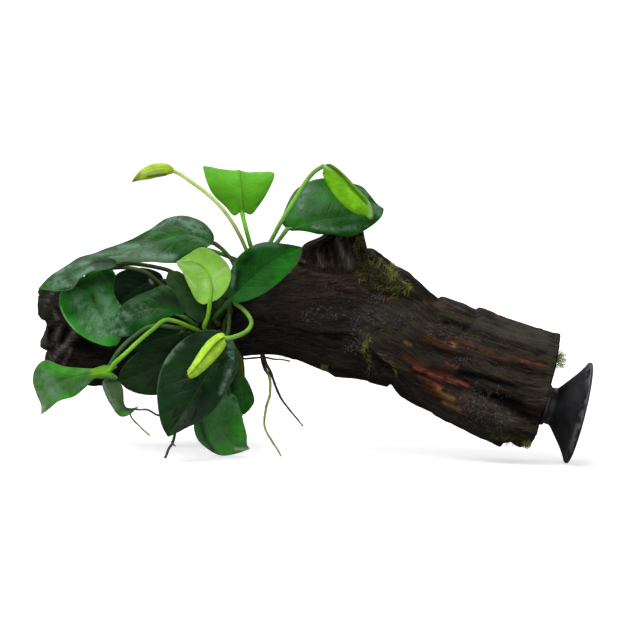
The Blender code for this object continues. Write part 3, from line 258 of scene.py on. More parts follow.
# Leaves. "root" is where the petiole leaves the rhizome (fraction, roll), "petiole" is its way to the
# blade, "rib" is the midrib from the base to the tip, "left" and "right" are the margins between them.
# "lean" is the depth in mm at the base of the blade and its change per column and per row; a third
# number of a point is added to that depth. The bud at the top left is a closed spindle: its middle line
# with the half width in mm, all at one depth.
LEAVES = {
    "leaf_pale_upright": dict(
        material="leaf_bright", root=(0.06, 20),
        petiole=((251, 247, -16), (246, 229, -15), (243, 217, -12)),
        rib=((242, 211), (241, 190, -1), (239.5, 172.5, 3), (238, 173, 13), (237, 181, 20)),
        knots=(0.0, 0.27, 0.53, 0.77, 1.0),
        left=((234, 216), (225, 208), (213, 196), (206, 179), (204.5, 163, 3), (222, 168, 13)),
        right=((251, 215), (259, 207), (268, 193), (273, 179), (273, 170, 3), (254, 171, 13)),
        lean=(-11, 0.0, 0.05),
    ),
    "leaf_upper_right": dict(
        material="leaf_green", root=(0.0, -35),
        petiole=((271, 250, -17), (279, 240, -18), (285, 232, -18)),
        rib=((287, 229), (318, 221, -2), (350, 216, -2), (384, 208.5)),
        left=((282, 223), (284, 211), (294, 191), (309, 182), (326, 178), (345, 181), (361, 186),
              (370, 195), (377, 203.5)),
        right=((292, 231), (307, 231), (320, 234), (342, 237), (357, 234), (372, 226), (382, 216)),
        lean=(-18, -0.01, -0.16),
    ),
    "leaf_folded_lime": dict(
        material="leaf_lime", root=(0.05, -60),
        petiole=((259, 258, -21), (268, 246, -23), (281.6, 221, -26), (295, 199, -28), (305, 183, -29),
                 (314, 172, -30), (320, 168, -30)),
        rib=((323, 166), (334, 179, -1), (350, 197, -1), (364, 211), (372, 222)),
        left=((322, 170), (328, 184), (339, 200), (353, 211), (364, 214)),
        right=((331, 164), (344, 174), (358, 189), (370, 202), (373, 213)),
        lean=(-31, 0.0, -0.02), thickness=2.4,
    ),
    "leaf_arching_left": dict(
        material="leaf_dark", root=(0.18, 5),
        petiole=((237, 268, -18), (231, 259, -15), (222, 249, -11)),
        rib=((214, 243), (185, 235), (150, 243.5), (115, 254), (90, 258), (67, 265)),
        left=((213, 235, 4), (203, 224, 8), (186, 219, 11), (167, 221, 12), (150, 230.5, 12),
              (125, 246, 10), (101, 253, 6), (80, 258, 3)),
        right=((208, 249, -5), (192, 261, -10), (174, 264.5, -13), (150, 265, -13), (118, 265, -12),
               (90, 264.5, -4)),
        lean=(-8, 0.0, 0.0),
    ),
    "leaf_far_left": dict(
        material="leaf_dark", root=(0.62, 60),
        petiole=((196, 306, -24), (186, 281, -23), (170, 271, -22), (155, 267, -22), (140, 264.5, -23),
                 (128, 263.5, -25.5)),
        rib=((118, 264), (97, 263), (74, 271), (54, 281), (38, 289)),
        left=((114, 259, 1), (97, 256, 3), (81, 260, 4), (64, 267, 3), (49, 277, 1)),
        right=((112, 268, -2), (93, 272, -5), (79, 279, -6), (71, 289, -7), (58, 292, -6), (48, 290, -3)),
        lean=(-27, 0.02, 0.0),
    ),
    "leaf_round_left": dict(
        material="leaf_green", root=(0.7, 70),
        petiole=((192, 312, -25), (177, 299.5, -27), (163, 286, -27.5), (147, 273, -27.5), (130, 268, -27),
                 (112, 268, -23), (96, 271.5, -18)),
        rib=((85, 276), (92, 296, 1), (106, 325, 1), (117, 345)),
        left=((99, 271), (112, 269.5), (119.5, 284), (123, 303), (125, 322), (122, 337)),
        right=((72, 280), (62, 290), (59, 303), (64, 318), (75, 332), (91, 342), (107, 347)),
        lean=(-20, 0.0, -0.14),
    ),
    "leaf_centre_left": dict(
        material="leaf_green", root=(0.78, 40),
        petiole=((196, 326, -29), (190, 321, -32)),
        rib=((184, 317), (160, 308, -1), (136, 313, -1), (108, 333)),
        left=((181, 303, 1), (168, 287, 2), (153, 290, 2), (137, 298, 2), (123, 306, 1), (113, 320)),
        right=((176, 315, -1), (166, 318, -1), (150, 328, -2), (134, 335, -2), (119, 337, -1)),
        lean=(-34, -0.01, 0.0),
    ),
    "leaf_shaded_left": dict(
        material="leaf_dark", root=(0.66, 20),
        petiole=((196, 314, -26), (182, 297, -26), (170, 285, -25)),
        rib=((164, 280), (148, 282), (132, 292), (120, 304)),
        left=((160, 273), (146, 268), (130, 268.5), (116, 275), (114, 292)),
        right=((162, 289), (150, 300), (138, 307), (127, 308)),
        lean=(-25, 0.0, 0.0),
    ),
    "leaf_shaded_centre": dict(
        material="leaf_dark", root=(0.74, -5),
        petiole=((207, 328, -28),),
        rib=((205, 323), (192, 304), (180, 286), (168, 272)),
        left=((206, 314, 1), (201, 297, 1), (190, 280, 1), (178, 271)),
        right=((196, 321, -1), (182, 310, -1), (171, 294, -1), (166, 280)),
        lean=(-28.5, 0.0, 0.03),
    ),
    "leaf_lime_centre": dict(
        material="leaf_lime", root=(0.8, -20),
        petiole=((204, 327, -34), (208, 316, -36.5)),
        rib=((210, 302), (212, 286, 1), (206, 270, 2), (194, 262, 1), (176, 262)),
        left=((203, 304), (195, 297), (189, 283), (183, 272), (178, 266)),
        right=((218, 299), (228, 286), (230, 272), (222, 259), (211, 251), (202, 248), (190, 254)),
        lean=(-37, 0.02, -0.06),
    ),
    "leaf_centre_right": dict(
        material="leaf_green", root=(0.7, -40),
        petiole=((214, 318, -30), (222, 309, -31)),
        rib=((229, 301), (252, 278, 1), (278, 258, 1), (302, 247)),
        left=((227, 294), (229, 280), (231, 268), (238, 255), (252, 245), (268, 241), (286, 243)),
        right=((236, 303), (252, 299), (268, 291), (285, 277), (297, 264), (302, 253)),
        lean=(-31, 0.05, 0.06),
    ),
    "leaf_rolled_front": dict(
        material="leaf_rolled", root=(0.36, -25),
        petiole=((235, 303, -27), (241, 307.5, -28), (248, 315, -30), (251.5, 323, -34), (248, 330, -38),
                 (241, 334.5, -43), (232, 337.5, -48)),
        rib=((227, 338), (218, 347, -1), (205, 361, -1), (186, 376)),
        left=((222, 333), (213.5, 336.5), (205.5, 345), (199, 355), (192, 366)),
        right=((224, 343.5), (219.5, 353), (210, 364), (199.5, 374), (191, 378.5)),
        lean=(-50, 0.0, -0.01), thickness=4.6,
    ),
    "leaf_large_front": dict(
        material="leaf_dark", root=(0.46, -25),
        petiole=((229.5, 312, -27), (229, 324, -31)),
        rib=((228, 333), (214, 362, 1), (190, 402, 1), (168, 437)),
        left=((218, 330), (199, 331), (180, 342), (164, 362), (157, 386), (158, 408), (162, 426)),
        right=((234, 342), (238, 360), (235, 374), (221, 401), (203, 419), (183, 430)),
        lean=(-35, 0.02, -0.13),
    ),
    "leaf_dark_behind": dict(
        material="leaf_dark", root=(0.95, 5),
        petiole=((192, 340, -27),),
        rib=((186, 346), (165, 362), (143, 373), (119, 382)),
        left=((178, 343), (158, 345), (140, 351), (127, 362), (120, 373)),
        right=((185, 358), (178, 380), (160, 394), (141, 394), (127, 389)),
        lean=(-30, 0.0, 0.0),
    ),
    "leaf_hanging_right": dict(
        material="leaf_green", root=(0.88, -50),
        petiole=((212, 350, -25), (222, 372, -24), (227, 384, -23)),
        rib=((229, 392), (224, 413, 1), (224, 434, 1), (236, 447), (250, 449)),
        left=((220, 394), (207, 405), (194, 421), (196, 437), (206, 448), (220, 455.3), (236, 453.5)),
        right=((237, 397), (241, 410), (245, 424), (247, 436), (247, 444)),
        lean=(-24, 0.0, 0.0),
    ),
    "leaf_behind_right": dict(
        material="leaf_dark", root=(0.55, -55),
        petiole=((223, 330, -21), (236, 350, -19), (242, 363, -18)),
        rib=((240, 372), (242, 386), (243, 400), (244, 415)),
        left=((232, 374), (229, 388), (232, 403)),
        right=((246, 378), (252, 390), (254.5, 401), (250, 409)),
        lean=(-17, 0.0, 0.0),
    ),
    "leaf_low_left": dict(
        material="leaf_green", root=(0.86, 15),
        petiole=((199, 331, -34), (190, 327, -38), (178, 322, -41), (165, 320, -43), (152, 330, -44),
                 (140, 340, -44), (125, 354, -44), (114, 364, -43)),
        rib=((110, 371), (93, 373, -1), (68, 379, -1), (50, 389), (41, 415)),
        left=((117, 367, 1), (105, 366, 1), (94, 369), (76, 368), (60, 366), (45, 360), (36, 367),
              (32.5, 380), (37, 396), (41, 405)),
        right=((118, 378, 1), (107, 378, 1), (95, 377.5), (85, 387), (74, 396), (59, 401), (49, 409)),
        lean=(-42, 0.08, 0.0),
    ),
    "leaf_small_curled": dict(
        material="leaf_green", root=(0.84, 50),
        petiole=((180, 328, -37.3), (152, 326, -39.5), (132, 338, -39), (118, 352, -39), (110, 366, -38)),
        rib=((107, 379), (113, 397), (121, 413, 1), (130, 412, 2), (139, 405, 3)),
        left=((103, 381), (103, 388), (113, 406), (119, 416), (128, 416)),
        right=((116, 380, 2), (122, 387, 3), (123, 400, 3), (126, 407, 3), (134, 408, 3)),
        lean=(-38, 0.0, 0.0),
    ),
    "leaf_shaded_low": dict(
        material="leaf_dark", root=(0.95, 42),
        petiole=((190, 333, -31),),
        rib=((182, 332), (165, 337), (150, 342), (131, 349)),
        left=((176, 326), (160, 326), (146, 332), (135, 341)),
        right=((180, 340), (166, 348), (151, 351), (138, 351)),
        lean=(-33, 0.0, 0.0),
    ),
    "leaf_back_standing": dict(
        material="leaf_green", root=(0.24, 75), over=((242, 72), (238, 104), (234, 136)),
        petiole=((226, 305, 25), (224, 325, 30)),
        rib=((224, 342), (222, 375, 2), (222, 408, 3), (224, 438.6)),
        left=((208, 341), (195, 362), (191, 392), (202, 424)),
        right=((237, 344), (243, 367), (244, 396), (238, 425)),
        lean=(32, 0.0, 0.035),
    ),
    "leaf_back_right": dict(
        material="leaf_dark", root=(0.0, 40), over=((274, 84), (278, 112), (280, 140)),
        petiole=((280, 284, 25),),
        rib=((281, 292), (292, 307, 1), (306, 323, 1), (322, 340)),
        left=((290, 284), (308, 288), (324, 305), (329, 325)),
        right=((269, 297), (265, 313), (277, 333), (301, 345)),
        lean=(25, 0.02, 0.04),
    ),
    "leaf_back_left": dict(
        material="leaf_dark", root=(0.46, 75), over=((216, 62), (206, 98), (198, 132)),
        petiole=((180, 303, 24),),
        rib=((166, 312), (145, 322, 1), (120, 338, 1), (92, 360)),
        left=((160, 302), (138, 298), (112, 308), (94, 334)),
        right=((168, 324), (158, 348), (136, 366), (112, 371)),
        lean=(25, -0.03, 0.02),
    ),
    "leaf_back_top": dict(
        material="leaf_green", root=(0.13, 55),
        petiole=((244, 262, -8), (232, 258, 2), (216, 252, 12), (205, 249, 18)),
        rib=((197, 247), (182, 240, 2), (165, 240, 4), (146, 248, 5)),
        left=((196, 238, 5), (182, 228, 8), (165, 228, 9), (150, 238, 7)),
        right=((190, 254, -2), (176, 257, -3), (162, 257, -2), (150, 253, 2)),
        lean=(20, 0.0, 0.0),
    ),
    "leaf_back_low": dict(
        material="leaf_dark", root=(0.36, 80), over=((228, 66), (220, 100), (210, 136)),
        petiole=((198, 312, 24), (193, 328, 24)),
        rib=((191, 338), (188, 358, 1), (184, 380, 1), (178, 408)),
        left=((179, 336), (164, 350), (159, 372), (164, 396)),
        right=((203, 340), (212, 358), (211, 380), (198, 399)),
        lean=(24, 0.0, 0.03),
    ),
    "leaf_rolled_bud": dict(
        material="leaf_rolled", root=(0.12, -20),
        petiole=((247.5, 252, -18), (241, 238, -17), (232, 222, -16), (220, 206, -15), (205, 192, -14),
                 (190, 181, -14), (180, 174, -14)),
        body=((173, 171, 1.1), (166, 169.5, 2.1), (156, 170.5, 2.5), (146, 173.5, 2.2), (138, 177.5, 1.2),
              (132, 182, 0)),
        depth=-14,
    ),
}

# How each blade lies: which side the viewer sees, how far its margins lift and the size of its waves in mm,
# how much painted sheen it has all over, and its colour and its petiole's
Blade = namedtuple("Blade", "seen lift wave bloom tint stem")
BLADES = {
    "leaf_pale_upright": Blade("under", 1.0, 0.3, 0.0, (0.082, 0.342, 0.007), (0.13, 0.4, 0.02)),
    "leaf_upper_right": Blade("upper", -0.6, 0.5, 0.0, (0.01, 0.088, 0.006), (0.12, 0.25, 0.04)),
    "leaf_arching_left": Blade("upper", 0.5, 0.5, 0.0, (0.013, 0.07, 0.01), (0.03, 0.055, 0.014)),
    "leaf_far_left": Blade("upper", -0.4, 0.4, 0.0, (0.036, 0.088, 0.036), (0.02, 0.035, 0.01)),
    "leaf_round_left": Blade("upper", 0.6, 0.35, 0.0, (0.016, 0.16, 0.012), (0.034, 0.056, 0.016)),
    "leaf_centre_left": Blade("upper", 0.4, 0.3, 0.0, (0.003, 0.048, 0.001), (0.04, 0.11, 0.02)),
    # painted shade: a near-black tint for a leaf that lies in shade
    "leaf_shaded_left": Blade("upper", 0.3, 0.3, 0.0, (0.0005, 0.009, 0.001), (0.02, 0.035, 0.01)),
    "leaf_shaded_centre": Blade("upper", 0.3, 0.3, 0.0, (0.023, 0.06, 0.016), (0.02, 0.04, 0.01)),
    "leaf_lime_centre": Blade("under", 0.5, 0.3, 0.0, (0.2, 0.43, 0.066), (0.17, 0.42, 0.02)),
    "leaf_centre_right": Blade("upper", 0.5, 0.3, 0.0, (0.011, 0.1, 0.008), (0.03, 0.1, 0.02)),
    "leaf_large_front": Blade("upper", -0.5, 0.5, 0.0, (0.0015, 0.02, 0.0015), (0.03, 0.08, 0.02)),
    "leaf_dark_behind": Blade("upper", 0.2, 0.3, 0.0, (0.009, 0.031, 0.0065), (0.03, 0.07, 0.02)),
    "leaf_hanging_right": Blade("upper", 0.4, 0.4, 0.0, (0.05, 0.19, 0.041), (0.03, 0.09, 0.02)),
    "leaf_behind_right": Blade("upper", 0.3, 0.3, 0.0, (0.0155, 0.08, 0.0105), (0.07, 0.08, 0.015)),
    "leaf_low_left": Blade("upper", 0.2, 0.2, 0.0, (0.064, 0.2, 0.038), (0.18, 0.45, 0.03)),
    "leaf_small_curled": Blade("upper", 0.2, 0.2, 0.0, (0.08, 0.145, 0.058), (0.05, 0.11, 0.04)),
    # painted shade: a near-black tint for a leaf that lies in shade
    "leaf_shaded_low": Blade("upper", 0.2, 0.3, 0.0, (0.0015, 0.018, 0.001), (0.03, 0.07, 0.02)),
    "leaf_back_standing": Blade("away", 0.5, 0.5, 0.5, (0.026, 0.12, 0.018), (0.06, 0.18, 0.02)),
    "leaf_back_right": Blade("away", 0.5, 0.4, 0.5, (0.018, 0.09, 0.012), (0.06, 0.18, 0.02)),
    "leaf_back_left": Blade("away", 0.5, 0.5, 0.6, (0.018, 0.085, 0.012), (0.06, 0.18, 0.02)),
    "leaf_back_top": Blade("up", 0.4, 0.4, 0.6, (0.026, 0.12, 0.016), (0.06, 0.18, 0.02)),
    "leaf_back_low": Blade("away", 0.4, 0.4, 0.4, (0.016, 0.075, 0.011), (0.06, 0.18, 0.02)),
}
SEEN_FROM = {"upper": (0, -1, 0.1), "under": (0, 1, -0.1), "away": (0, 1, 0.2), "up": (0, 0, 1)}
VEINS, VEIN_LEAN, VEIN_BEND, VEIN_SHIFT = 8, 0.3, 1.3, 0.3

# Leaves that are still rolled or folded: the seam's angle, how far it gapes and its overlap, or None for
# the folded one, the petiole's thickness as a share of the others', its colour and its petiole's
Young = namedtuple("Young", "roll stalk tint stem seed")
YOUNG = {
    "leaf_rolled_front": Young((100, 0.45, 60), 1.05, (0.41, 0.68, 0.045), (0.20, 0.44, 0.06), 41),
    "leaf_folded_lime": Young(None, 1.05, (0.155, 0.450, 0.004), (0.19, 0.46, 0.07), 43),
    "leaf_rolled_bud": Young((75, 0.1, 60), 0.9, (0.44, 0.66, 0.05), (0.48, 0.64, 0.18), 45),
}
BUD_ACROSS = np.array((0.15, 0.0, 1.0))
FOLD = ((0.42, 0.95), (0.15, 1.3), (-0.35, 1.25), (-0.8, 0.8), (-1.0, 0.0), (-0.75, -0.75), (-0.1, -0.9),
        (0.6, -0.65), (1.0, -0.1))

# The leaves' materials
LEAF_LOOKS = {
    "leaf_bright": dict(gloss=0.34, shine=0.16, glow=0.12, veins=0.10, under=(0.11, 0.40, 0.02)),
    "leaf_green": dict(gloss=0.24, shine=0.14, glow=0.04, veins=0.10, under=(0.10, 0.26, 0.06)),
    "leaf_lime": dict(gloss=0.36, shine=0.16, glow=0.15, veins=0.06, under=(0.225, 0.47, 0.045)),
    "leaf_dark": dict(gloss=0.23, shine=0.11, glow=0.02, veins=0.06, under=(0.05, 0.12, 0.035)),
    "leaf_rolled": dict(gloss=0.36, shine=0.16, glow=0.12, veins=0.0, under=(0.22, 0.38, 0.04)),
}

# Marks on the blades by kind, each with its half width and its middle line in pixels. "sheen" is a painted
# reflection, a pale bluish sheen; "lit" is painted light, a purer green; "shade" is painted shade, a darker
# one;
# "lime" and "pale" are lighter, and some "pale" marks are painted highlights; "brown" is dry.
LEAF_MARKS = {
    "leaf_arching_left": dict(
        sheen=(
            (4.5, ((154, 229), (165, 221), (176, 219), (188, 222), (197, 227), (206, 233))),
            (4.0, ((186, 222), (190, 229), (194, 233))),
            (4.0, ((80, 258), (105, 256), (130, 253), (150, 255), (172, 257))),
            (3.0, ((120, 247), (135, 246), (150, 247))),
        ),
        lit=((4.5, ((148, 233), (162, 235), (176, 232))), (5.0, ((200, 237), (212, 240)))),
        shade=((3.0, ((176, 260), (188, 257), (202, 248))),),
        brown=((2.0, ((66, 266), (71, 261), (78, 257))),),
    ),
    "leaf_far_left": dict(
        sheen=(
            (5.0, ((54, 283), (61, 281), (69, 284))), (2.6, ((72, 279), (83, 274), (92, 268))),
            (2.5, ((56, 272), (75, 266), (88, 262))),
        ),
        lit=((4.5, ((38, 289), (48, 286), (53, 288))),),
        shade=((3.2, ((91, 267), (100, 262), (114, 260))), (2.0, ((62, 290), (72, 287)))),
    ),
    "leaf_round_left": dict(
        sheen=(
            (7.5, ((78, 301), (85, 308), (93, 315), (100, 323))),
            (7.0, ((101, 294), (107, 303), (109, 314), (110, 326))),
            (4.0, ((82, 324), (92, 330), (104, 334))), (3.5, ((117, 292), (120, 306))),
        ),
        lit=((4.5, ((62, 292), (60, 305), (66, 319), (78, 334), (95, 343), (112, 346))),),
        shade=(
            (7.5, ((70, 286), (82, 284), (96, 280), (110, 276))),
            (1.7, ((91, 295), (98, 308), (107, 325))),
        ),
        pale=((0.5, ((60, 306), (67, 321), (78, 334))),),
    ),
    "leaf_centre_left": dict(
        sheen=((6.5, ((110, 325), (120, 316), (132, 311), (142, 312))), (4.0, ((108, 333), (124, 331)))),
        lit=((7.0, ((148, 322), (164, 313), (180, 311))),),
        shade=((5.0, ((160, 296), (172, 298), (180, 306))),),
    ),
    "leaf_shaded_left": dict(
        # painted highlight: a small pale spot
        pale=((1.3, ((150, 280), (152, 283))),),
    ),
    "leaf_lime_centre": dict(
        lit=((5.0, ((196, 296), (208, 300), (220, 296))), (1.5, ((202, 268), (208, 278), (210, 290)))),
        shade=((3.0, ((192, 251), (201, 250), (209, 253))),),
        pale=(
            (1.6, ((178, 263), (188, 267), (200, 267))), (1.0, ((186, 276), (196, 288))),
            (1.4, ((215, 276), (226, 268))), (1.4, ((213, 281), (215, 288))),
            (1.4, ((204, 282), (207, 287))),
        ),
    ),
    "leaf_centre_right": dict(
        sheen=((2.8, ((232, 260), (233, 275), (231, 290))), (2.6, ((254, 246), (266, 244), (280, 245)))),
        lit=((7.0, ((292, 254), (284, 265), (276, 278))),),
        shade=((3.5, ((238, 272), (236, 288))), (4.0, ((245, 262), (252, 256)))),
        brown=((0.8, ((301, 250), (297, 262))),),
    ),
    "leaf_upper_right": dict(
        sheen=(
            (3.6, ((309, 187), (303, 196), (300, 208))), (3.0, ((287, 200), (291, 192))),
            (2.4, ((314, 227), (340, 230), (366, 226))), (4.0, ((376, 205), (380, 213))),
            (3.5, ((356, 186), (366, 194))),
        ),
        lit=((6.0, ((290, 215), (298, 223), (304, 227))), (8.0, ((318, 190), (326, 200)))),
    ),
    "leaf_folded_lime": dict(
        pale=((2.0, ((369, 202), (371, 212), (372, 221))), (2.5, ((325, 165), (330, 168)))),
        brown=((0.9, ((328, 166), (339.5, 173), (349, 184), (359, 195), (367, 204))),),
    ),
    "leaf_pale_upright": dict(
        sheen=(
            (3.2, ((206, 168), (225, 171), (246, 175), (271, 176))),
            (1.7, ((213, 178), (220, 184), (227, 190))), (3.0, ((228, 173), (236, 178))),
            (2.0, ((243, 179), (248, 187))), (4.0, ((262, 182), (266, 190))),
        ),
        lit=((10.0, ((212, 196), (228, 192), (252, 197))),),
    ),
    "leaf_rolled_bud": dict(
        shade=((2.2, ((140, 174), (136, 178), (132, 183))), (1.0, ((148, 176.5), (166, 174)))),
        # painted highlight: a bright streak along the bud's top
        pale=((0.9, ((142, 173), (150, 172.5), (160, 171.5))),),
    ),
    "leaf_low_left": dict(
        sheen=(
            (6.5, ((42, 374), (48, 383), (54, 392))), (5.0, ((38, 394), (44, 406))),
            (3.0, ((76, 390), (86, 383))),
        ),
        lit=((5.0, ((44, 365), (60, 370), (80, 373))), (3.5, ((60, 399), (78, 393)))),
        lime=((4.2, ((94, 373), (104, 371), (117, 372))),),
        pale=((2.6, ((42, 407), (42, 415))),),
    ),
    "leaf_small_curled": dict(
        sheen=((2.6, ((103, 385), (110, 397), (116, 409))),),
        lit=((4.0, ((121, 412), (126, 416))),),
        shade=((2.2, ((106, 381), (117, 381))), (2.8, ((127, 408), (133, 410), (139, 405)))),
    ),
    "leaf_large_front": dict(
        sheen=(
            (2.4, ((165, 362), (173, 352), (181, 344))), (3.5, ((229, 342), (232, 358), (229, 374))),
            (2.2, ((226, 380), (221, 392))),
        ),
        lit=((6.0, ((160, 404), (164, 420), (171, 431))), (4.0, ((176, 356), (180, 372)))),
        shade=((5.0, ((202, 396), (193, 414), (183, 426))),),
    ),
    "leaf_hanging_right": dict(
        sheen=((3.0, ((232, 402), (238, 407))), (2.4, ((222, 402), (236, 396)))),
        lit=((5.0, ((220, 447), (232, 450))), (7.0, ((236, 424), (241, 440)))),
        shade=((2.0, ((199, 412), (202, 428), (206, 440), (213, 450))),),
        pale=((1.8, ((236, 449), (250, 449))),),
    ),
    "leaf_behind_right": dict(
        lit=((5.0, ((248, 398), (246, 410))),),
        shade=((5.0, ((233, 376), (229, 392))),),
    ),
}

# Roots: rhizome start (fraction, roll), places round the wood (column, angle), then hanging places. "taper"
# is how much thinner it gets, as a share of its radius, and "side_tip" a broken side root.
ROOTS = {
    "root_creeping": dict(
        start=(0.05, 150),
        round_wood=((252, 100), (246, 130), (242, 165), (240, 205), (240, 240), (243, 262)),
        hanging=((250, 358.5, 2), (262, 357.5, 0), (275, 359, -1), (290, 361, -2)),
    ),
    "root_long_olive": dict(
        start=None, round_wood=(),
        hanging=((261.5, 351, -2), (262, 356, -2.5), (262.5, 361, -2), (264, 367, -4), (268.5, 375, -8),
                 (270, 385, -11), (269.5, 395, -12), (266, 408, -13), (265, 428, -15), (272, 441, -17),
                 (281, 456, -19)),
    ),
    "root_long_brown": dict(
        start=None, round_wood=(),
        hanging=((262.5, 351, 0), (263.5, 356, 0.5), (265.5, 361.5, 1), (271, 373, 0), (276, 387, -1),
                 (282.5, 401, -1), (292, 413, -2), (303, 426, -3)),
    ),
    "root_left_curved": dict(
        start=(0.9, -120), round_wood=((192, -35), (190, -55), (188, -78)),
        hanging=((184, 380, -14), (176, 402, -18), (166, 414, -24), (158, 415, -28), (147, 410, -31),
                 (137, 409, -33), (130, 411, -33), (131, 417, -33), (140, 427, -33), (149, 436, -33)),
    ),
    "root_forked": dict(
        start=(0.97, -75), round_wood=((184, -32), (182, -50), (182, -70)),
        hanging=((182, 384, -22), (180, 404, -32), (176, 429, -43), (172.5, 442, -46), (168.6, 451, -47),
                 (165, 458, -48)),
        taper=0.3, side_tip=((171.8, 441, -46), (173.4, 444.4, -46), (176, 446.4, -46)),
    ),
}
ROOT_SIDE = (0.3, 1.0, 0.2)
ROOT_TAPER = 0.6
# Each root's material: its name, its colour from the rhizome on, near its end and at its growing tip, and
# where along it the first colour turns into the second
DARK_ROOT, GREEN_ROOT, PALE_ROOT = (0.040, 0.030, 0.020), (0.330, 0.330, 0.085), (0.420, 0.400, 0.130)
SLOW_TURN = (0.35, 0.8)
ROOT_LOOKS = {
    "root_creeping": (
        "root_brown_fine", (0.085, 0.075, 0.035), (0.110, 0.100, 0.045), PALE_ROOT, SLOW_TURN),
    "root_long_olive": (
        "root_olive_fine", DARK_ROOT, GREEN_ROOT, PALE_ROOT, (0.16, 0.34)),
    "root_long_brown": (
        "root_dark_fine", DARK_ROOT, (0.085, 0.070, 0.040), (0.240, 0.200, 0.080), SLOW_TURN),
    "root_left_curved": (
        "root_tipped_fine", (0.150, 0.135, 0.090), GREEN_ROOT, PALE_ROOT, (0.80, 0.95)),
    "root_forked": (
        "root_forked_fine", (0.045, 0.036, 0.025), (0.055, 0.043, 0.028), GREEN_ROOT, SLOW_TURN),
}

# Moss, as a tuft or as wisps. A tuft has the wood that it grows on, the places that it covers there, its
# number of strands, how far they drift over those places and stand off in mm, and their shades. "upward"
# draws them to the patch's upper edge. A wisp has its number of strands, its half width in pixels, its
# shades, its strands' length in pixels and how far they stand off in mm, and the line that it follows.
MOSS = {
    "moss_in_crevice": (
        (80, 1.2, (0.3, 0.95), 7, 1.2,
         ((366, 248), (371, 257), (377, 261), (388, 268), (398, 278), (409, 288))),
        (90, 3.2, (0.05, 0.7), 6, 1.1, ((362, 254), (357, 264), (358, 272), (366, 278))),
        (300, 5.0, (0.0, 0.35), 6, 0.7, ((370, 262), (380, 272), (390, 280), (400, 287))),
        (60, 1.1, (0.2, 0.65), 7, 0.9, ((373, 283), (380, 288), (394, 290), (410, 291))),
        (26, 1.8, (0.85, 1.0), 6, 1.6, ((407, 284), (410, 287), (409, 290))),
        (24, 1.4, (0.5, 0.9), 8, 1.5, ((386, 270), (392, 271), (398, 266))),
        (24, 1.8, (0.6, 1.0), 6, 1.6, ((386, 268), (392, 275), (393, 279))),
        (12, 1.2, (0.4, 0.7), 7, 1.0, ((385, 304), (391, 299), (396, 296))),
        (90, 4.0, (0.0, 0.4), 6, 0.9, ((366, 262), (372, 274), (378, 284))),
    ),
    "moss_on_stub": dict(
        on="stub", first=(0.62, 0.84), second=(-54, -18), count=90,
        drift=(0.08, -6.0), reach=1.6, shades=(0.1, 0.7),
    ),
    "moss_strand_on_limb": (
        (70, 2.4, (0.1, 0.8), 5, 1.2, ((369, 334), (369, 341), (366, 348))),
        (14, 0.6, (0.3, 0.8), 9, 0.8, ((364, 346), (369, 357), (374, 370))),
        (16, 0.9, (0.3, 0.9), 9, 0.8, ((380, 352), (386, 358), (398, 369))),
        (26, 4.0, (0.0, 0.4), 5, 0.8, ((380, 331), (392, 330), (398, 331))),
    ),
    "moss_tuft_underside": dict(
        on="trunk", first=(322, 330), second=(-70, -56), count=60,
        drift=(1.5, -5.0), reach=1.8, shades=(0.2, 0.8),
    ),
    "moss_tuft_cut_end": dict(
        on="end", first=(0.16, 0.68), second=(-15, -5), count=70,
        drift=(0.1, 1.0), reach=4.5, shades=(0.9, 1.0), upward=0.55,
    ),
    "moss_tuft_low_end": (
        (90, 2.4, (0.4, 1.0), 6, 2.0, ((523, 443), (529, 442), (531, 445))),
        (50, 3.0, (0.0, 0.5), 8, 1.2, ((490, 434), (508, 438), (520, 441))),
    ),
}

# Long folds all round the wood: height and length in mm, radius of their places, and seed
LONG_FOLDS = ((2.3, 42, 2.0, 7), (1.2, 30, 3.3, 8))
FOLD_WANDER = 0.3
# Columns between which the long folds grow towards the right and fade from the left end, the left end's
# roughness and gnarls fade and its outline ends, and the wood turns olive at the right
FOLDS_GROW, FOLDS_FADE, END_FADES, GNARLS_FADE, END_FOLLOWED, TURNS_OLIVE = (
    (264, 315), (100, 150), (52, 118), (60, 84), (64, 90), (398, 445))
# Ridges: share of the radius, number round the wood, twist for each column, and start
RIDGES = ((0.035, 3, 0.012, 0.0), (0.025, 7, -0.02, 1.0))

# Main forms of the wood's front: height in mm, half width or fading distance in pixels, and the line.
# A step stands proud on the right-hand side of its line.
WOOD_FOLDS = (
    (-3.4, 6.5, ((432, 374), (455, 383), (482, 395), (512, 408), (552, 425))),
    (1.6, 8.0, ((364, 240), (376, 258), (394, 272), (412, 288), (426, 299))),
    (-2.0, 10.0, ((362, 266), (380, 281), (404, 295))),
    (-1.2, 8.0, ((425, 348), (455, 355), (500, 366), (545, 380))),
)
WOOD_STEPS = (
    (1.7, 18.0, ((366, 338), (373, 360), (386, 383), (396, 396))),
    (1.2, 14.0, ((530, 326), (480, 311), (452, 300), (436, 294))),
)
WOOD_STEP_EDGE = 2.0

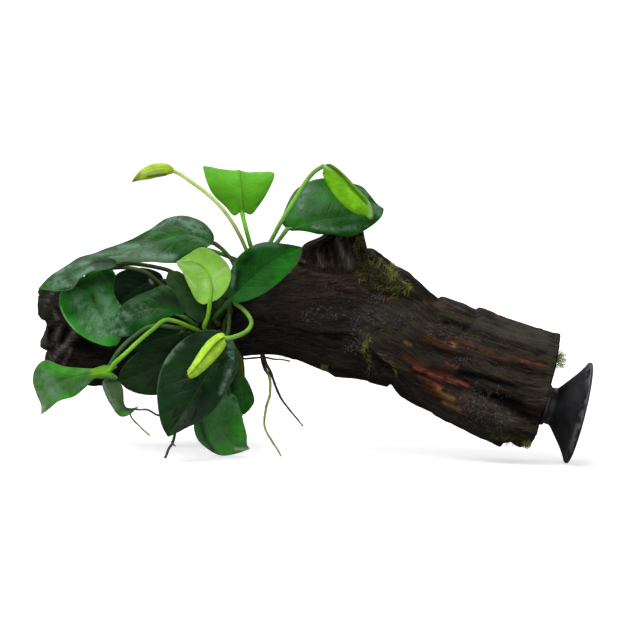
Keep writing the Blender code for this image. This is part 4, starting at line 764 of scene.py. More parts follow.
# The wood's upper and lower outline in the photograph, where leaves leave it free: from these columns on,
# and at the broken end on top
UPPER_LINE = (
    (44, 288), (60, 286), (75, 284), (100, 284), (360, 248), (366, 246), (370, 246.5), (375, 250),
    (384, 257), (388, 259), (394, 265), (403, 269), (409, 272), (413, 276), (420, 282), (430, 292),
    (436, 297), (438.5, 298.5), (440.5, 296.5), (445, 297), (451, 299.3), (458, 302), (466, 305),
    (472, 308), (476.5, 309.5), (478.5, 307), (484, 308.5), (494, 312.5), (499, 315.6), (505, 317.6),
    (523, 323.5), (535, 327.5), (545, 330.4), (554, 333.4), (565, 334),
)
LOWER_LINE = (
    (326, 370), (330, 373), (335, 376), (350, 378), (365, 380.5), (378, 383), (387.5, 384), (389.5, 380.5),
    (392, 384), (395, 389), (400, 395), (410, 400.4), (420, 404.2), (430, 409), (440, 415), (450, 419.5),
    (460, 426), (470, 432.8), (480, 437.5), (486, 438), (497, 443), (500.5, 444), (502.5, 440.5),
    (510, 441.5), (514, 444), (519, 447.4), (525, 445.5), (531, 443), (536, 441),
)
UPPER_SEEN, LOWER_SEEN = 372, 335
TRIM_PLACES = 420
TRIM_EVEN = 3

# The broken left end's outline: heights from its bottom, -1, to its top, 1, and how far it stands out there
# in pixels
END_LINE = (
    (-1.0, 1), (-0.86, 6), (-0.74, 5.5), (-0.64, 3.5), (-0.52, 0.5), (-0.47, -0.5), (-0.45, 6),
    (-0.42, 9.5), (-0.36, 10), (-0.24, 8.5), (-0.05, 6.5), (0.12, 3.5), (0.18, 0.5), (0.22, 4.5),
    (0.27, 9.5), (0.36, 13.5), (0.48, 14.5), (0.64, 14), (0.81, 11.5), (0.93, 7.5), (1.0, 1.5),
)
END_REACH = 14.0
# The saw cut runs back towards its front: by how much in mm, and from how many columns before the end
CUT_BACK = 0.6
CUT_REACH = 26.0
YEAR_RINGS = 16.0

# Fine grooves and ridges on the wood as the photograph shows them: height in mm, half width in pixels, and
# the line
FINE_FOLDS = (
    (-1.4, 2.6, ((436, 377), (462, 388), (486, 398), (512, 409), (540, 421))),
    (-1.3, 3.5, ((486, 396), (500, 399), (516, 404))),
    (1.0, 2.0, ((410, 362), (430, 370), (455, 379), (468, 387))),
    (-1.0, 2.0, ((412, 372), (432, 381), (462, 392))),
    (-0.9, 2.2, ((425, 350), (447, 353), (470, 357))),
    (-0.8, 2.0, ((486, 343), (500, 350), (530, 358))),
    (-0.8, 2.0, ((398, 334), (420, 345), (440, 350))),
    (0.9, 2.4, ((363, 244), (374, 259), (392, 273), (410, 289), (426, 300))),
    (-0.8, 2.6, ((374, 291), (392, 294), (412, 296), (430, 303))),
    (0.6, 1.8, ((415, 300), (430, 303), (448, 307))),
    (-0.8, 2.0, ((300, 285), (340, 290), (376, 301))),
    (-0.7, 2.0, ((250, 318), (300, 330), (340, 340))),
    (-0.7, 2.2, ((410, 321), (440, 320), (470, 327))),
    (0.7, 2.5, ((474, 322), (500, 330), (548, 342))),
    (-0.7, 2.0, ((446, 322), (490, 338), (548, 352))),
    (-1.0, 2.4, ((460, 374), (480, 378), (512, 386))),
    (0.7, 2.5, ((395, 398), (430, 413), (480, 432), (520, 442))),
    (0.8, 1.6, ((362, 346), (370, 358), (378, 374))),
    (0.6, 1.5, ((380, 353), (390, 361), (400, 370))),
    (-1.6, 2.4, ((44, 322), (54, 319), (60, 312))),
    (-1.8, 3.4, ((56, 361), (61, 357))),
    (1.6, 2.4, ((75, 333), (66, 345), (60, 352), (52, 362))),
    (1.3, 1.8, ((71, 348), (68, 358), (62, 366))),
    (-1.6, 2.2, ((68, 330), (62, 342), (57, 346))),
    (1.3, 1.8, ((61, 326), (57, 336), (53, 346))),
    (-1.5, 2.0, ((52, 330), (50, 342))),
    (-1.2, 2.4, ((45, 300), (48, 312))),
    (1.0, 1.8, ((54, 294), (50, 302), (46, 308))),
    (-1.2, 2.4, ((59, 292), (55, 306))),
    (1.0, 2.0, ((57, 311), (56, 319), (51, 326))),
)

# The same on the stub
STUB_FOLDS = (
    (0.9, 3.0, ((338, 236), (343, 252), (350, 268))),
    (-1.1, 1.5, ((350, 232), (354, 250), (359, 266))),
    (0.7, 1.5, ((353, 236), (357, 250), (362, 262))),
    (1.0, 2.2, ((362, 228), (365, 243), (368, 256))),
    (-1.3, 2.2, ((311, 248), (314, 262))),
    (-1.1, 1.8, ((325, 244), (328, 260))),
    (0.9, 1.6, ((317, 250), (320, 259), (325, 267))),
    (0.9, 2.0, ((300, 260), (306, 262))),
    (-0.9, 2.0, ((332, 242), (336, 262))),
)

# Edges of bark that stands proud on the right-hand side of its line: height in mm, fading distance in
# pixels, and the line
FINE_STEPS = (
    (0.7, 6, ((366, 338), (373, 360), (386, 383), (396, 396))),
    (1.0, 7, ((452, 394), (424, 382), (396, 366), (372, 350))),
    (1.0, 8, ((394, 384), (372, 374), (340, 366), (300, 358))),
    (0.9, 7, ((520, 322), (480, 311), (452, 300), (436, 294))),
    (0.8, 8, ((408, 293), (380, 283), (340, 280), (300, 272))),
    (0.9, 8, ((545, 372), (505, 362), (470, 356), (430, 350))),
    (0.8, 8, ((540, 437), (500, 424), (466, 410))),
)
FINE_STEP_EDGE = 0.8

# Stains and painted light on the wood by kind: strength, half width in pixels, and the line. "black" is
# painted shade along grooves, cracks and crevices, in hollows and at the stub's foot; "ash" is grey along
# ridges, partly painted highlight.
WOOD_STAINS_AND_PAINTED_LIGHT = {
    "warm": (
        (1.0, 3.4, ((424, 338), (431, 340), (437, 344))),
        (0.75, 4.0, ((441, 345), (452, 343), (470, 344))),
        (0.45, 3.2, ((480, 350), (496, 354), (508, 358))),
        (0.6, 3.6, ((404, 357), (426, 366), (450, 374))), (0.8, 5.5, ((430, 386), (446, 398), (466, 409))),
        (0.5, 1.8, ((519, 359), (532, 363), (546, 366))), (0.8, 1.6, ((438, 303), (447, 307), (452, 309))),
        (0.6, 1.4, ((496, 316), (504, 319))),
    ),
    "tan": (
        (1.0, 1.6, ((452, 343.5), (455, 345.5))), (0.5, 1.3, ((404, 342), (412, 345))),
        (0.5, 0.9, ((418, 368.5), (430, 372.5))), (0.6, 1.0, ((447, 379.5), (457, 382.5))),
        (0.9, 2.2, ((439, 389), (443, 394), (452, 399))), (0.8, 1.8, ((444, 402), (452, 406), (461, 410))),
        (0.35, 1.4, ((426, 302), (438, 304))),
    ),
    "red": (
        (1.0, 1.5, ((414, 367), (426, 371), (440, 377))), (1.0, 1.7, ((440, 376), (456, 381), (468, 387))),
        (0.55, 1.2, ((418, 376), (428, 381), (440, 387))), (0.5, 1.6, ((446, 363), (456, 367))),
        (0.4, 1.2, ((522, 360), (530, 364), (544, 365))),
    ),
    "brown": (
        (1.0, 11.0, ((298, 268), (340, 280), (388, 298))),
        (1.0, 6.0, ((334, 368), (366, 375), (392, 386))),
        (0.9, 12.0, ((420, 380), (470, 402), (500, 416))), (1.0, 10.0, ((500, 404), (540, 414))),
        (0.8, 7.0, ((434, 324), (448, 335))), (1.0, 9.0, ((308, 244), (320, 262))),
        (1.0, 6.0, ((350, 236), (354, 262))),
    ),
    "violet": (
        (0.9, 1.6, ((301, 260), (305, 262))), (0.6, 2.0, ((42, 300), (52, 294))),
        (0.7, 1.6, ((57, 312), (57, 317))), (0.8, 2.0, ((362, 232), (366, 248), (372, 254))),
        (0.7, 1.3, ((394, 272), (404, 281), (412, 290))), (0.5, 2.2, ((368, 248), (380, 262), (396, 270))),
        (0.6, 1.5, ((415, 304), (430, 306), (446, 308))), (0.6, 1.3, ((443, 300), (456, 307), (466, 310))),
        (0.5, 1.4, ((480, 312), (496, 316), (540, 330))),
        (0.45, 1.6, ((481, 396), (492, 401), (500, 408))), (0.4, 1.4, ((508, 412), (528, 424))),
        (0.35, 2.0, ((384, 372), (400, 382), (418, 392))),
    ),
    "pale": (
        (0.9, 12.0, ((372, 314), (392, 318), (412, 320))), (0.8, 6.0, ((364, 330), (370, 340))),
        (0.8, 11.0, ((466, 404), (486, 414), (504, 422))), (0.6, 8.0, ((400, 330), (430, 326))),
        (0.8, 9.0, ((484, 322), (510, 330), (545, 340))),
    ),
    "fleck": (
        (0.3, 20.0, ((300, 312), (340, 318), (400, 320))),
        (1.0, 13.0, ((466, 404), (486, 414), (504, 422))), (0.3, 9.0, ((330, 290), (380, 300))),
        (0.5, 16.0, ((430, 330), (500, 345))),
    ),
    "green": (
        (1.0, 8.0, ((356, 262), (376, 270), (400, 286))), (0.9, 3.5, ((364, 236), (365, 250), (368, 262))),
        (0.9, 7.0, ((366, 338), (382, 333), (398, 332))), (0.7, 7.0, ((490, 434), (512, 436), (530, 444))),
        (0.8, 4.0, ((551, 356), (549, 380))), (0.9, 3.4, ((41, 318), (47, 319))),
        (0.45, 6.0, ((43, 298), (46, 312))), (0.5, 2.5, ((47, 330), (43, 344))),
    ),
    # painted shade: dark along grooves, cracks and crevices, in hollows and at the stub's foot
    "black": (
        (0.9, 2.6, ((412, 372), (440, 384), (470, 393))),
        (0.95, 4.5, ((458, 373), (490, 379), (516, 387))),
        (0.95, 4.0, ((488, 393), (508, 398), (522, 402))),
        (0.8, 1.8, ((500, 409), (516, 414), (536, 423))), (0.5, 3.0, ((425, 353), (450, 355), (470, 359))),
        (1.0, 2.6, ((374, 292), (392, 295), (410, 297))), (0.8, 3.6, ((336, 370), (366, 378), (388, 384))),
        (0.5, 5.0, ((330, 300), (350, 299), (368, 303))), (0.5, 3.0, ((446, 322), (462, 326), (480, 332))),
        (0.5, 2.4, ((488, 343), (504, 349), (516, 350))), (0.7, 5.0, ((370, 268), (384, 276), (398, 286))),
        (0.9, 3.4, ((45, 299), (48, 314))), (1.0, 3.0, ((59, 293), (54, 307))),
        (0.9, 2.4, ((51, 329), (49, 343))), (1.0, 3.0, ((60, 324), (68, 330))),
        (1.0, 2.6, ((69, 334), (62, 342))), (1.0, 3.2, ((56, 361), (61, 358))),
        (1.0, 6.0, ((84, 346), (100, 354), (112, 356))), (0.9, 2.4, ((311, 248), (314, 263))),
        (0.9, 2.0, ((326, 244), (328, 259))), (0.9, 3.0, ((333, 238), (337, 264))),
        (0.9, 1.5, ((351, 234), (355, 252), (358, 264))), (0.9, 3.4, ((304, 250), (308, 259))),
        (0.6, 4.0, ((300, 264), (330, 268), (352, 270))),
    ),
    # partly painted highlight: lighter grey along the ridges of the broken end and the stub
    "ash": (
        (1.0, 3.2, ((75, 333), (66, 346), (56, 358))), (0.8, 1.6, ((71, 348), (68, 357), (62, 366))),
        (0.7, 1.8, ((61, 326), (58, 336), (55, 345))), (0.5, 1.2, ((48, 352), (50, 358))),
        (0.6, 1.4, ((52, 293), (48, 301), (45, 306))), (0.9, 1.6, ((56, 312), (57, 318))),
        (0.4, 1.6, ((46, 328), (43, 344))), (0.5, 2.8, ((338, 240), (343, 254), (350, 268))),
        (0.45, 1.3, ((354, 244), (358, 258))), (0.6, 1.3, ((318, 254), (321, 261), (324, 267))),
    ),
}
# How strong the scattered ones are where the photograph can't show any, and their size in mm
SCATTERED = {"brown": 0.8, "pale": 0.7, "fleck": 0.6, "green": 0.6, "black": 0.8, "violet": 0.4}
OTHER_SCATTERED = 0.12
SCATTER_SIZE = (26, 9, 9)

# Tangles of fine grey threads on the wood: tangles, threads in each, the half width of their band in pixels
# and its line
HAIR_TANGLES = (
    (16, 12, 5.0, ((350, 321), (358, 326), (354, 336), (362, 346))),
    (12, 12, 3.5, ((372, 326), (382, 323), (396, 322))),
    (16, 11, 6.0, ((372, 312), (392, 316), (412, 318))),
    (7, 10, 2.5, ((367, 300), (374, 300), (381, 301))),
    (8, 10, 4.0, ((345, 348), (362, 346), (366, 336))),
    (26, 12, 8.0, ((470, 404), (486, 412), (504, 424))),
    (10, 8, 5.0, ((470, 384), (480, 392), (510, 398))),
    (8, 7, 7.0, ((425, 322), (452, 332), (500, 342))),
    (10, 7, 12.0, ((300, 308), (340, 316))),
    (7, 7, 6.0, ((456, 356), (472, 362))),
)
# Single sticks and roots on the wood: thickness in mm and the line
TWIGS = (
    (0.55, ((526, 430), (531, 432), (534, 433), (537.5, 434))),
    (0.45, ((499, 441), (500, 444), (501, 447))),
)

# Suction cup: the ends of its rim in the photograph, and its turned profile as (distance, radius) in mm,
# from the wood on for the peg and washer and back from the rim for the neck, skirt, lip and dish
CUP_RIM_TOP = (592.5, 362.4)
CUP_RIM_BOTTOM = (566.2, 463.7)
CUP_PEG_PROFILE = (
    (-9.0, 3.4), (-8.6, 3.9), (-8.0, 4.0), (0.5, 4.0), (0.62, 4.2), (0.62, 7.4), (0.75, 7.85), (1.1, 8.0),
    (1.9, 8.0), (2.25, 7.85), (2.4, 7.45), (2.55, 7.2), (2.9, 7.15),
)
CUP_SKIRT_PROFILE = (
    (-10.8, 7.25), (-10.2, 7.5), (-9.4, 8.3), (-8.4, 9.5), (-7.2, 11.0), (-5.8, 12.7), (-4.2, 14.7),
    (-2.8, 16.7), (-1.7, 18.5), (-1.25, 19.4), (-1.15, 19.62), (-0.95, 19.85), (-0.6, 19.98), (-0.25, 20.0),
    (-0.06, 19.93), (0, 19.75), (0, 18.3), (-0.1, 18.1), (-0.6, 17.4), (-1.6, 16.1), (-2.8, 14.3),
    (-4.0, 12.2), (-5.0, 10.0), (-5.7, 8.0), (-6.2, 6.0), (-6.5, 4.0), (-6.6, 2.0), (-6.6, 0.4),
)
# Where the rubber is lighter, from wear and as painted highlight, and how far on either side
CUP_WASHER_EDGES = (1.9, 2.9)
CUP_LIP_WIDTH = 1.4
CUP_WEAR_AND_HIGHLIGHT_REACH = 0.6

# Lights: place, the place it shines on, size and power
LIGHTS = {
    "key_softbox": ((-0.25, -0.55, 0.95), (0.0, 0.0, 0.05), (0.7, 0.5), 8.0),
    "front_softbox": ((0.15, -1.3, 0.35), (0.0, 0.0, 0.05), (1.4, 0.9), 5.0),
    "back_softbox": ((-0.1, 0.55, 0.8), (0.0, 0.0, 0.06), (0.8, 0.4), 2.5),
    "left_softbox": ((-0.9, -0.1, 0.45), (0.0, 0.0, 0.06), (0.4, 0.5), 2.5),
}


# The wood's, the stub's and the rhizome's forms, as in the solids

def line_distance(column, row, line):
    """Distance in pixels from a broken line, and the side of it (1 is the right-hand side)."""
    best = np.full(np.shape(column), np.inf)
    side = np.ones(np.shape(column))
    for (x0, y0), (x1, y1) in zip(line, line[1:]):
        dx, dy = x1 - x0, y1 - y0
        u = np.clip(((column - x0) * dx + (row - y0) * dy) / (dx * dx + dy * dy), 0, 1)
        distance = np.hypot(column - x0 - u * dx, row - y0 - u * dy)
        nearer = distance < best
        best = np.where(nearer, distance, best)
        side = np.where(nearer, np.where(dx * (row - y0) - dy * (column - x0) >= 0, 1.0, -1.0), side)
    return best, side


def nearness(column, row, line, width):
    """1 on a line, falling to 0 at a few times its half width in pixels."""
    return bump(line_distance(column, row, line)[0], 0.0, width)


def lined_relief(column, row, folds, steps, edge):
    """Relief in mm of folds and steps whose lines the photograph shows."""
    relief = np.zeros(np.shape(column))
    for height, width, line in folds:
        relief += height * nearness(column, row, line, width)
    for height, fade, line in steps:
        distance, side = line_distance(column, row, line)
        relief += height * smooth_step(-edge, edge, side * distance) * np.exp(-distance / fade)
    return relief


def round_wood(along, turn, radius):
    """Places for grain that is long in the wood's direction and goes round it without a seam."""
    return np.stack(np.broadcast_arrays(along, radius * np.cos(turn), radius * np.sin(turn)), axis=-1)


def wood_form(points, column, angle):
    """The trunk's main relief in mm: long folds all round, and in front what the photograph shows."""
    a = np.radians(angle)
    along = column * PIXEL / MM
    turn = a + FOLD_WANDER * grain(round_wood(along / 40, a, 1.2), 3)
    folds = sum(height * grain(round_wood(along / length, turn, radius), seed)
                for height, length, radius, seed in LONG_FOLDS)
    amount = smooth_step(*FOLDS_GROW, column) + 0.6 * (1 - smooth_step(*FOLDS_FADE, column))
    relief = amount * folds * (1 - 0.75 * np.sin(a) ** 2)
    front = smooth_step(0.15, 0.6, np.cos(a))
    return relief + front * lined_relief(*photo_place(points), WOOD_FOLDS, WOOD_STEPS, WOOD_STEP_EDGE)


def trunk_relief(column, angle):
    """Share by which the trunk's radius grows at a place: long ridges, knots and the lower limb."""
    angle = (angle + 180) % 360 - 180
    a = np.radians(angle)
    ridges = sum(share * np.sin(count * a + twist * column + start)
                 for share, count, twist, start in RIDGES)
    lumps = 0.03 * np.sin(column * 0.055 + 2.0 * np.sin(a)) * np.cos(2 * a + 0.6)
    limb = 0.09 * smooth_step(360, 410, column) * bump(angle, -28 - 0.03 * (column - 400), 16)
    return (ridges + lumps) * (1 - 0.8 * np.sin(a) ** 2) + limb


def trunk_middle(column):
    return (TRUNK_TOP.at(column) + TRUNK_BOTTOM.at(column)) / 2


def trunk_point(column, angle, lift=0.0):
    """Places on the trunk. Angle 0 is the front, 90 the top, 180 the back and -90 the underside."""
    column, angle = np.broadcast_arrays(np.asarray(column, float), np.asarray(angle, float))
    middle = trunk_middle(column)
    a = np.radians(angle)[..., None]
    out = (TRUNK_TOP.at(column) - middle) * np.sin(a) - TRUNK_DEPTH.at(column) * BACKWARD * np.cos(a)
    points = middle + out * (1 + trunk_relief(column, angle)[..., None])
    rise = wood_form(points, column, angle) * MM + np.asarray(lift, float)
    return points + unit(out) * rise[..., None]


def stub_point(height, turn, lift=0.0):
    """Places on the stub, from 0 below to 1 at its broken top. Turn 0 is its right, -90 its front."""
    height, turn = np.broadcast_arrays(np.asarray(height, float), np.asarray(turn, float))
    left, right = STUB_LEFT.at(height), STUB_RIGHT.at(height)
    a = np.radians(turn)[..., None]
    out = (right - left) / 2 * np.cos(a) + STUB_DEPTH.at(height) * BACKWARD * np.sin(a)
    lift = np.asarray(lift, float)[..., None]
    return (left + right) / 2 + out * (1 + 0.05 * np.sin(5 * a + 1.0)) + unit(out) * lift


def end_frame():
    """Top and bottom of the trunk's sawn end, and the direction out of it."""
    top, bottom = TRUNK_TOP.at(TRUNK_COLUMNS[-1]), TRUNK_BOTTOM.at(TRUNK_COLUMNS[-1])
    up = unit(top - bottom)
    return top, bottom, np.array((up[2], 0.0, -up[0]))


def end_point(height, depth, lift=0.0):
    """Places on the sawn end, from 0 at its middle to 1 at its top, at depths in mm."""
    top, bottom, normal = end_frame()
    height, depth, lift = (np.asarray(value, float)[..., None] for value in (height, depth, lift))
    return (top + bottom) / 2 + (top - bottom) / 2 * height + BACKWARD * MM * depth + normal * lift


def cup_seat():
    """Middle of the suction cup's seat on the sawn end, the direction along the cup, and its length."""
    rim_top, rim_bottom = photo_point(*CUP_RIM_TOP), photo_point(*CUP_RIM_BOTTOM)
    up = unit(rim_top - rim_bottom)
    outward = np.array((up[2], 0.0, -up[0]))
    rim_middle = (rim_top + rim_bottom) / 2
    end_top, _, normal = end_frame()
    reach = np.dot(rim_middle - end_top, normal) / np.dot(outward, normal)
    return rim_middle - outward * reach, outward, reach


RHIZOME_PATH = Path([trunk_point(c, a, RHIZOME_RADIUS + RHIZOME_LIFT) for c, a in RHIZOME])


def rhizome_out(t):
    """The direction from the wood through the rhizome at a fraction of its length."""
    first, last = RHIZOME[0][0], RHIZOME[-1][0]
    along = RHIZOME_PATH.direction(t)
    out = RHIZOME_PATH.at(t) - trunk_middle(first + (last - first) * np.asarray(t, float))
    return unit(out - along * np.sum(out * along, axis=-1, keepdims=True))


def rhizome_point(t, roll, lift=0.0):
    """A place on the rhizome. Roll 0 faces away from the wood."""
    out = rhizome_out(t)
    across = np.cross(RHIZOME_PATH.direction(t), out)
    a = math.radians(roll)
    return RHIZOME_PATH.at(t) + (out * math.cos(a) + across * math.sin(a)) * (RHIZOME_RADIUS * 1.1 + lift)


# Meshes

def add_piece(name, points, quads, tris, finish, slot):
    """A closed mesh that stands for the CAD node of its name, faces outward, and rides on the one body."""
    quads, tris = np.asarray(quads, int), np.asarray(tris, int).reshape(-1, 3)
    corners = np.concatenate([quads[:, [0, 1, 2]], quads[:, [0, 2, 3]], tris])
    a, b, c = (points[corners[:, i]] for i in range(3))
    if np.sum(a * np.cross(b, c)) < 0:
        quads, tris = quads[:, ::-1], tris[:, ::-1]
    mesh = bpy.data.meshes.new(name + "_fine")
    mesh.from_pydata(points.tolist(), [], quads.tolist() + tris.tolist())
    mesh.materials.append(finish)
    mesh.polygons.foreach_set("use_smooth", [True] * len(mesh.polygons))
    mesh.update()
    piece = bpy.data.objects.new(name + "_fine", mesh)
    bpy.context.scene.collection.objects.link(piece)
    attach(piece, "root")
    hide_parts(name)
    return piece


def add_values(piece, **layers):
    """Per-point numbers, or directions, that the material reads by name."""
    for name, values in layers.items():
        values = np.asarray(values, float)
        kind, key = ("FLOAT", "value") if values.ndim == 1 else ("FLOAT_VECTOR", "vector")
        piece.data.attributes.new(name, kind, "POINT").data.foreach_set(key, values.ravel())


def grid_quads(rows, columns, first=0, closed=False):
    """Faces of a grid of points; "closed" joins its last column to its first."""
    i = np.arange(rows - 1)[:, None]
    j = np.arange(columns if closed else columns - 1)[None, :]
    k = (j + 1) % columns
    a, b = first + i * columns + j, first + i * columns + k
    c, d = first + (i + 1) * columns + k, first + (i + 1) * columns + j
    return np.stack([a, b, c, d], axis=-1).reshape(-1, 4)


def fan_tris(ring_first, count, centre):
    i = np.arange(count)
    return np.stack([ring_first + (i + 1) % count, ring_first + i, np.full(count, centre)], axis=-1)


def closed_tube(rings, first=0):
    """Points, quads and tris of rings of the same count, closed by a fan at each end."""
    rows, count, _ = rings.shape
    points = np.concatenate([rings.reshape(-1, 3), rings[0].mean(0)[None], rings[-1].mean(0)[None]])
    quads = grid_quads(rows, count, first, closed=True)
    last = first + (rows - 1) * count
    tris = np.concatenate([fan_tris(first, count, last + count),
                           fan_tris(last, count, last + count + 1)[:, ::-1]])
    return points, quads, tris


def padded(values, rest=0):
    """The values with those of the two points that close a tube's ends, and zeros for other points."""
    return np.concatenate([values, values[:1], values[-1:], np.zeros((rest,) + values.shape[1:])])


def joined(*meshes):
    """Points, quads and tris of meshes whose faces already count on from one another."""
    return [np.concatenate(parts) for parts in zip(*meshes)]


def tube_rings(places, radii, side, count):
    """Rings of a round tube along a line of places, carried from its end without a twist."""
    along = unit(np.gradient(places, axis=0))
    side = np.asarray(side, float)
    first = np.empty_like(places)
    for i in range(len(places) - 1, -1, -1):
        side = unit(side - along[i] * np.dot(side, along[i]))
        first[i] = side
    second = np.cross(first, along)
    a = full_turn(count)
    spokes = first[:, None] * np.cos(a)[None, :, None] + second[:, None] * np.sin(a)[None, :, None]
    return places[:, None] + spokes * np.asarray(radii)[:, None, None]


def full_turn(count, whole=2 * np.pi):
    """Even angles round a ring."""
    return whole * np.arange(count) / count


def line_length(line):
    return np.linalg.norm(np.diff(line, axis=0), axis=1).sum()


# Leaves

def leaf_depth(leaf, place):
    """Depth in mm of a leaf's point: it leans, and a third number of the point is added."""
    base_column, base_row = leaf["rib"][0][:2]
    base, per_column, per_row = leaf["lean"]
    extra = place[2] if len(place) > 2 else 0.0
    return base + per_column * (place[0] - base_column) + per_row * (place[1] - base_row) + extra


def blade_paths(leaf):
    """Midrib and both margins of a blade as paths from its base to its tip."""
    rib, left, right = [[photo_point(p[0], p[1], leaf_depth(leaf, p)) for p in leaf[line]]
                        for line in ("rib", "left", "right")]
    margins = [Path([rib[0]] + side + [rib[-1]]) for side in (left, right)]
    return Path(rib, leaf.get("knots")), *margins


def petiole_path(leaf, last_point):
    """A petiole's way from the rhizome, over the wood where it must, to its last point."""
    points = [rhizome_point(*leaf["root"], lift) for lift in (CLEARANCE, 1.6 * MM)]
    lift = PETIOLE_RADIUS + PETIOLE_LIFT
    points += [trunk_point(column, angle, lift) for column, angle in leaf.get("over", ())]
    points += [photo_point(*place) for place in leaf["petiole"]]
    return Path(points + [last_point])


def blade_relief(blade, s, t, half, seed):
    """Relief in mm of a blade: lifted margins, a groove along the midrib, side veins and waves.

    s goes from -1 to 1 across the blade, t from 0 to 1 along it, and "half" is its half width in metres."""
    reach = np.abs(s) * half / MM
    slender = np.clip(half / (6 * MM), 0, 1)
    vein_turn = 2 * math.pi * (VEINS * (t - VEIN_LEAN * np.abs(s) ** VEIN_BEND) + VEIN_SHIFT * np.sign(s))
    relief = blade.lift * s * s * slender
    relief = relief + 0.4 * (1 - bump(reach, 0.0, 2.2)) * slender
    relief = relief - 0.14 * bump(reach, 0.0, 0.45)
    relief = relief - 0.03 * np.cos(vein_turn) * smooth_step(0.4, 3.0, reach) * slender
    ripple = np.sin(2 * math.pi * (2.6 * t + 0.37 * seed) + 1.7 * np.sign(s)) * np.sin(math.pi * t) ** 0.5
    return relief + blade.wave * smooth_step(0.25, 1.0, np.abs(s)) * ripple * slender


def blade_surface(leaf, blade, seed):
    """Middle surface of a blade: its places, the directions out of its upper side, and its grid values."""
    rib, left, right = blade_paths(leaf)
    spread = np.linspace(0.0, 1.0, BLADE_ROWS)
    t = 0.006 + 0.988 * (0.6 * spread + 0.4 * (1 - np.cos(math.pi * spread)) / 2)
    s = np.sin(np.linspace(-1.0, 1.0, BLADE_COLUMNS) * math.pi / 2 * 0.86) / math.sin(math.pi / 2 * 0.86)
    middle, a, b = rib.at(t), left.at(t), right.at(t)
    side, bow = b - a, (a + b) / 2 - middle
    t, s = t[:, None], s[None, :]
    sheet = middle[:, None] + side[:, None] / 2 * s[..., None] + bow[:, None] * (s * s)[..., None]
    out = unit(np.cross(np.gradient(sheet, axis=1), np.gradient(sheet, axis=0)))
    if np.dot(out[BLADE_ROWS // 3, BLADE_COLUMNS // 2], SEEN_FROM[blade.seen]) < 0:
        out = -out
    half = np.linalg.norm(side, axis=-1)[:, None] / 2
    lumps = layered_grain(sheet / (6 * MM) + seed * 7.3, 2, seed)
    relief = blade_relief(blade, s, t, half, seed) + 0.16 * lumps * np.clip(half / (6 * MM), 0, 1)
    return sheet + out * (relief * MM)[..., None], out, grid_values(s, t, half)


def grid_values(s, t, half):
    """For each point of a blade, its place across and along it, and the blade's half width there in mm."""
    return np.stack(np.broadcast_arrays(s, t, half / MM), axis=-1)


def blade_thickness(grid):
    s, t = np.abs(grid[..., 0]), grid[..., 1]
    thickness = RIB_THICKNESS + (MARGIN_THICKNESS - RIB_THICKNESS) * s
    thickness = thickness * np.sqrt(1.0 - 0.8 * s ** 12)
    return thickness * np.clip(t * 14, 0.35, 1) * np.clip((1 - t) * 14, 0.3, 1)


def rim_order(rows, columns):
    """Numbers of a grid's outer points in order round it."""
    first = np.arange(columns)
    right = np.arange(1, rows) * columns + columns - 1
    last = (rows - 1) * columns + np.arange(columns - 2, -1, -1)
    left = np.arange(rows - 2, 0, -1) * columns
    return np.concatenate([first, right, last, left])


def sheet_body(sheet, out, thickness):
    """The closed body of a thin sheet: its two sides and the rim that joins them."""
    rows, columns, _ = sheet.shape
    half = out * (thickness / 2)[..., None]
    size = rows * columns
    edge = rim_order(rows, columns)
    following = np.roll(edge, -1)
    rim = np.stack([edge, edge + size, following + size, following], axis=-1)
    quads = [grid_quads(rows, columns), grid_quads(rows, columns, size)[:, ::-1], rim]
    points = np.concatenate([(sheet + half).reshape(-1, 3), (sheet - half).reshape(-1, 3)])
    return points, np.concatenate(quads)


def add_leaf(name, body, line, radii, side, finish, slot):
    """The piece of a leaf: the closed body of its blade, and its petiole as a tube along a line."""
    points, quads = body
    stalk = closed_tube(tube_rings(line, radii, side, STALK_COUNT), len(points))
    return add_piece(name, *joined((points, quads, np.empty((0, 3), int)), stalk), finish, slot)


def leaf_values(piece, grid, line_count, tint, stem):
    """Per-point numbers of a leaf: its grid, its upper side, its stalk, its colours and its marks."""
    flat = grid.reshape(-1, 3)
    along = np.concatenate([np.linspace(-1, 0, STALK_ROWS), np.linspace(0, 1, line_count - STALK_ROWS)])
    along = padded(np.repeat(along, STALK_COUNT))
    stalk = np.stack([np.zeros_like(along), along, np.zeros_like(along)], axis=-1)
    number = np.arange(2 * len(flat) + len(along))
    add_values(piece, blade=np.concatenate([flat, flat, stalk]), upper=number < len(flat),
               stalk=number >= 2 * len(flat), tint=np.tile(tint, (len(number), 1)),
               stem=np.tile(stem, (len(number), 1)))
    places = np.empty(3 * len(number))
    piece.data.vertices.foreach_get("co", places)
    column, row = photo_place(places.reshape(-1, 3))
    marks = LEAF_MARKS.get(piece.name.removesuffix("_fine"), {})
    for kind, lines in marks.items():
        strength = np.max([nearness(column, row, line, width) for width, line in lines], axis=0)
        add_values(piece, **{kind: strength})


def stalk_line(leaf, sheet, out):
    """Middle line and radii of a petiole that goes on under the blade as its midrib."""
    middle = BLADE_COLUMNS // 2
    t = np.linspace(0.0, 0.985, STALK_ROWS)
    free = petiole_path(leaf, blade_paths(leaf)[0].at(0.0)).at(t)
    away = t * line_length(free) / MM
    radii = PETIOLE_RADIUS * (1 + 0.9 * np.exp(-away / 2.0) + 0.12 * bump(t, 0.93, 0.05))
    rows = np.linspace(2, BLADE_ROWS * 0.9, RIB_ROWS).astype(int)
    under = np.linspace(0.0, 1.0, RIB_ROWS)
    rib_radii = radii[-1] * (1 - under) ** 1.2 * 0.62 + 0.1 * MM
    drop = rib_radii * 0.55 * smooth_step(-0.02, 0.08, under) + 0.1 * MM
    ribs = sheet[rows, middle] - out[rows, middle] * drop[:, None]
    return np.concatenate([free, ribs]), np.concatenate([radii, rib_radii])


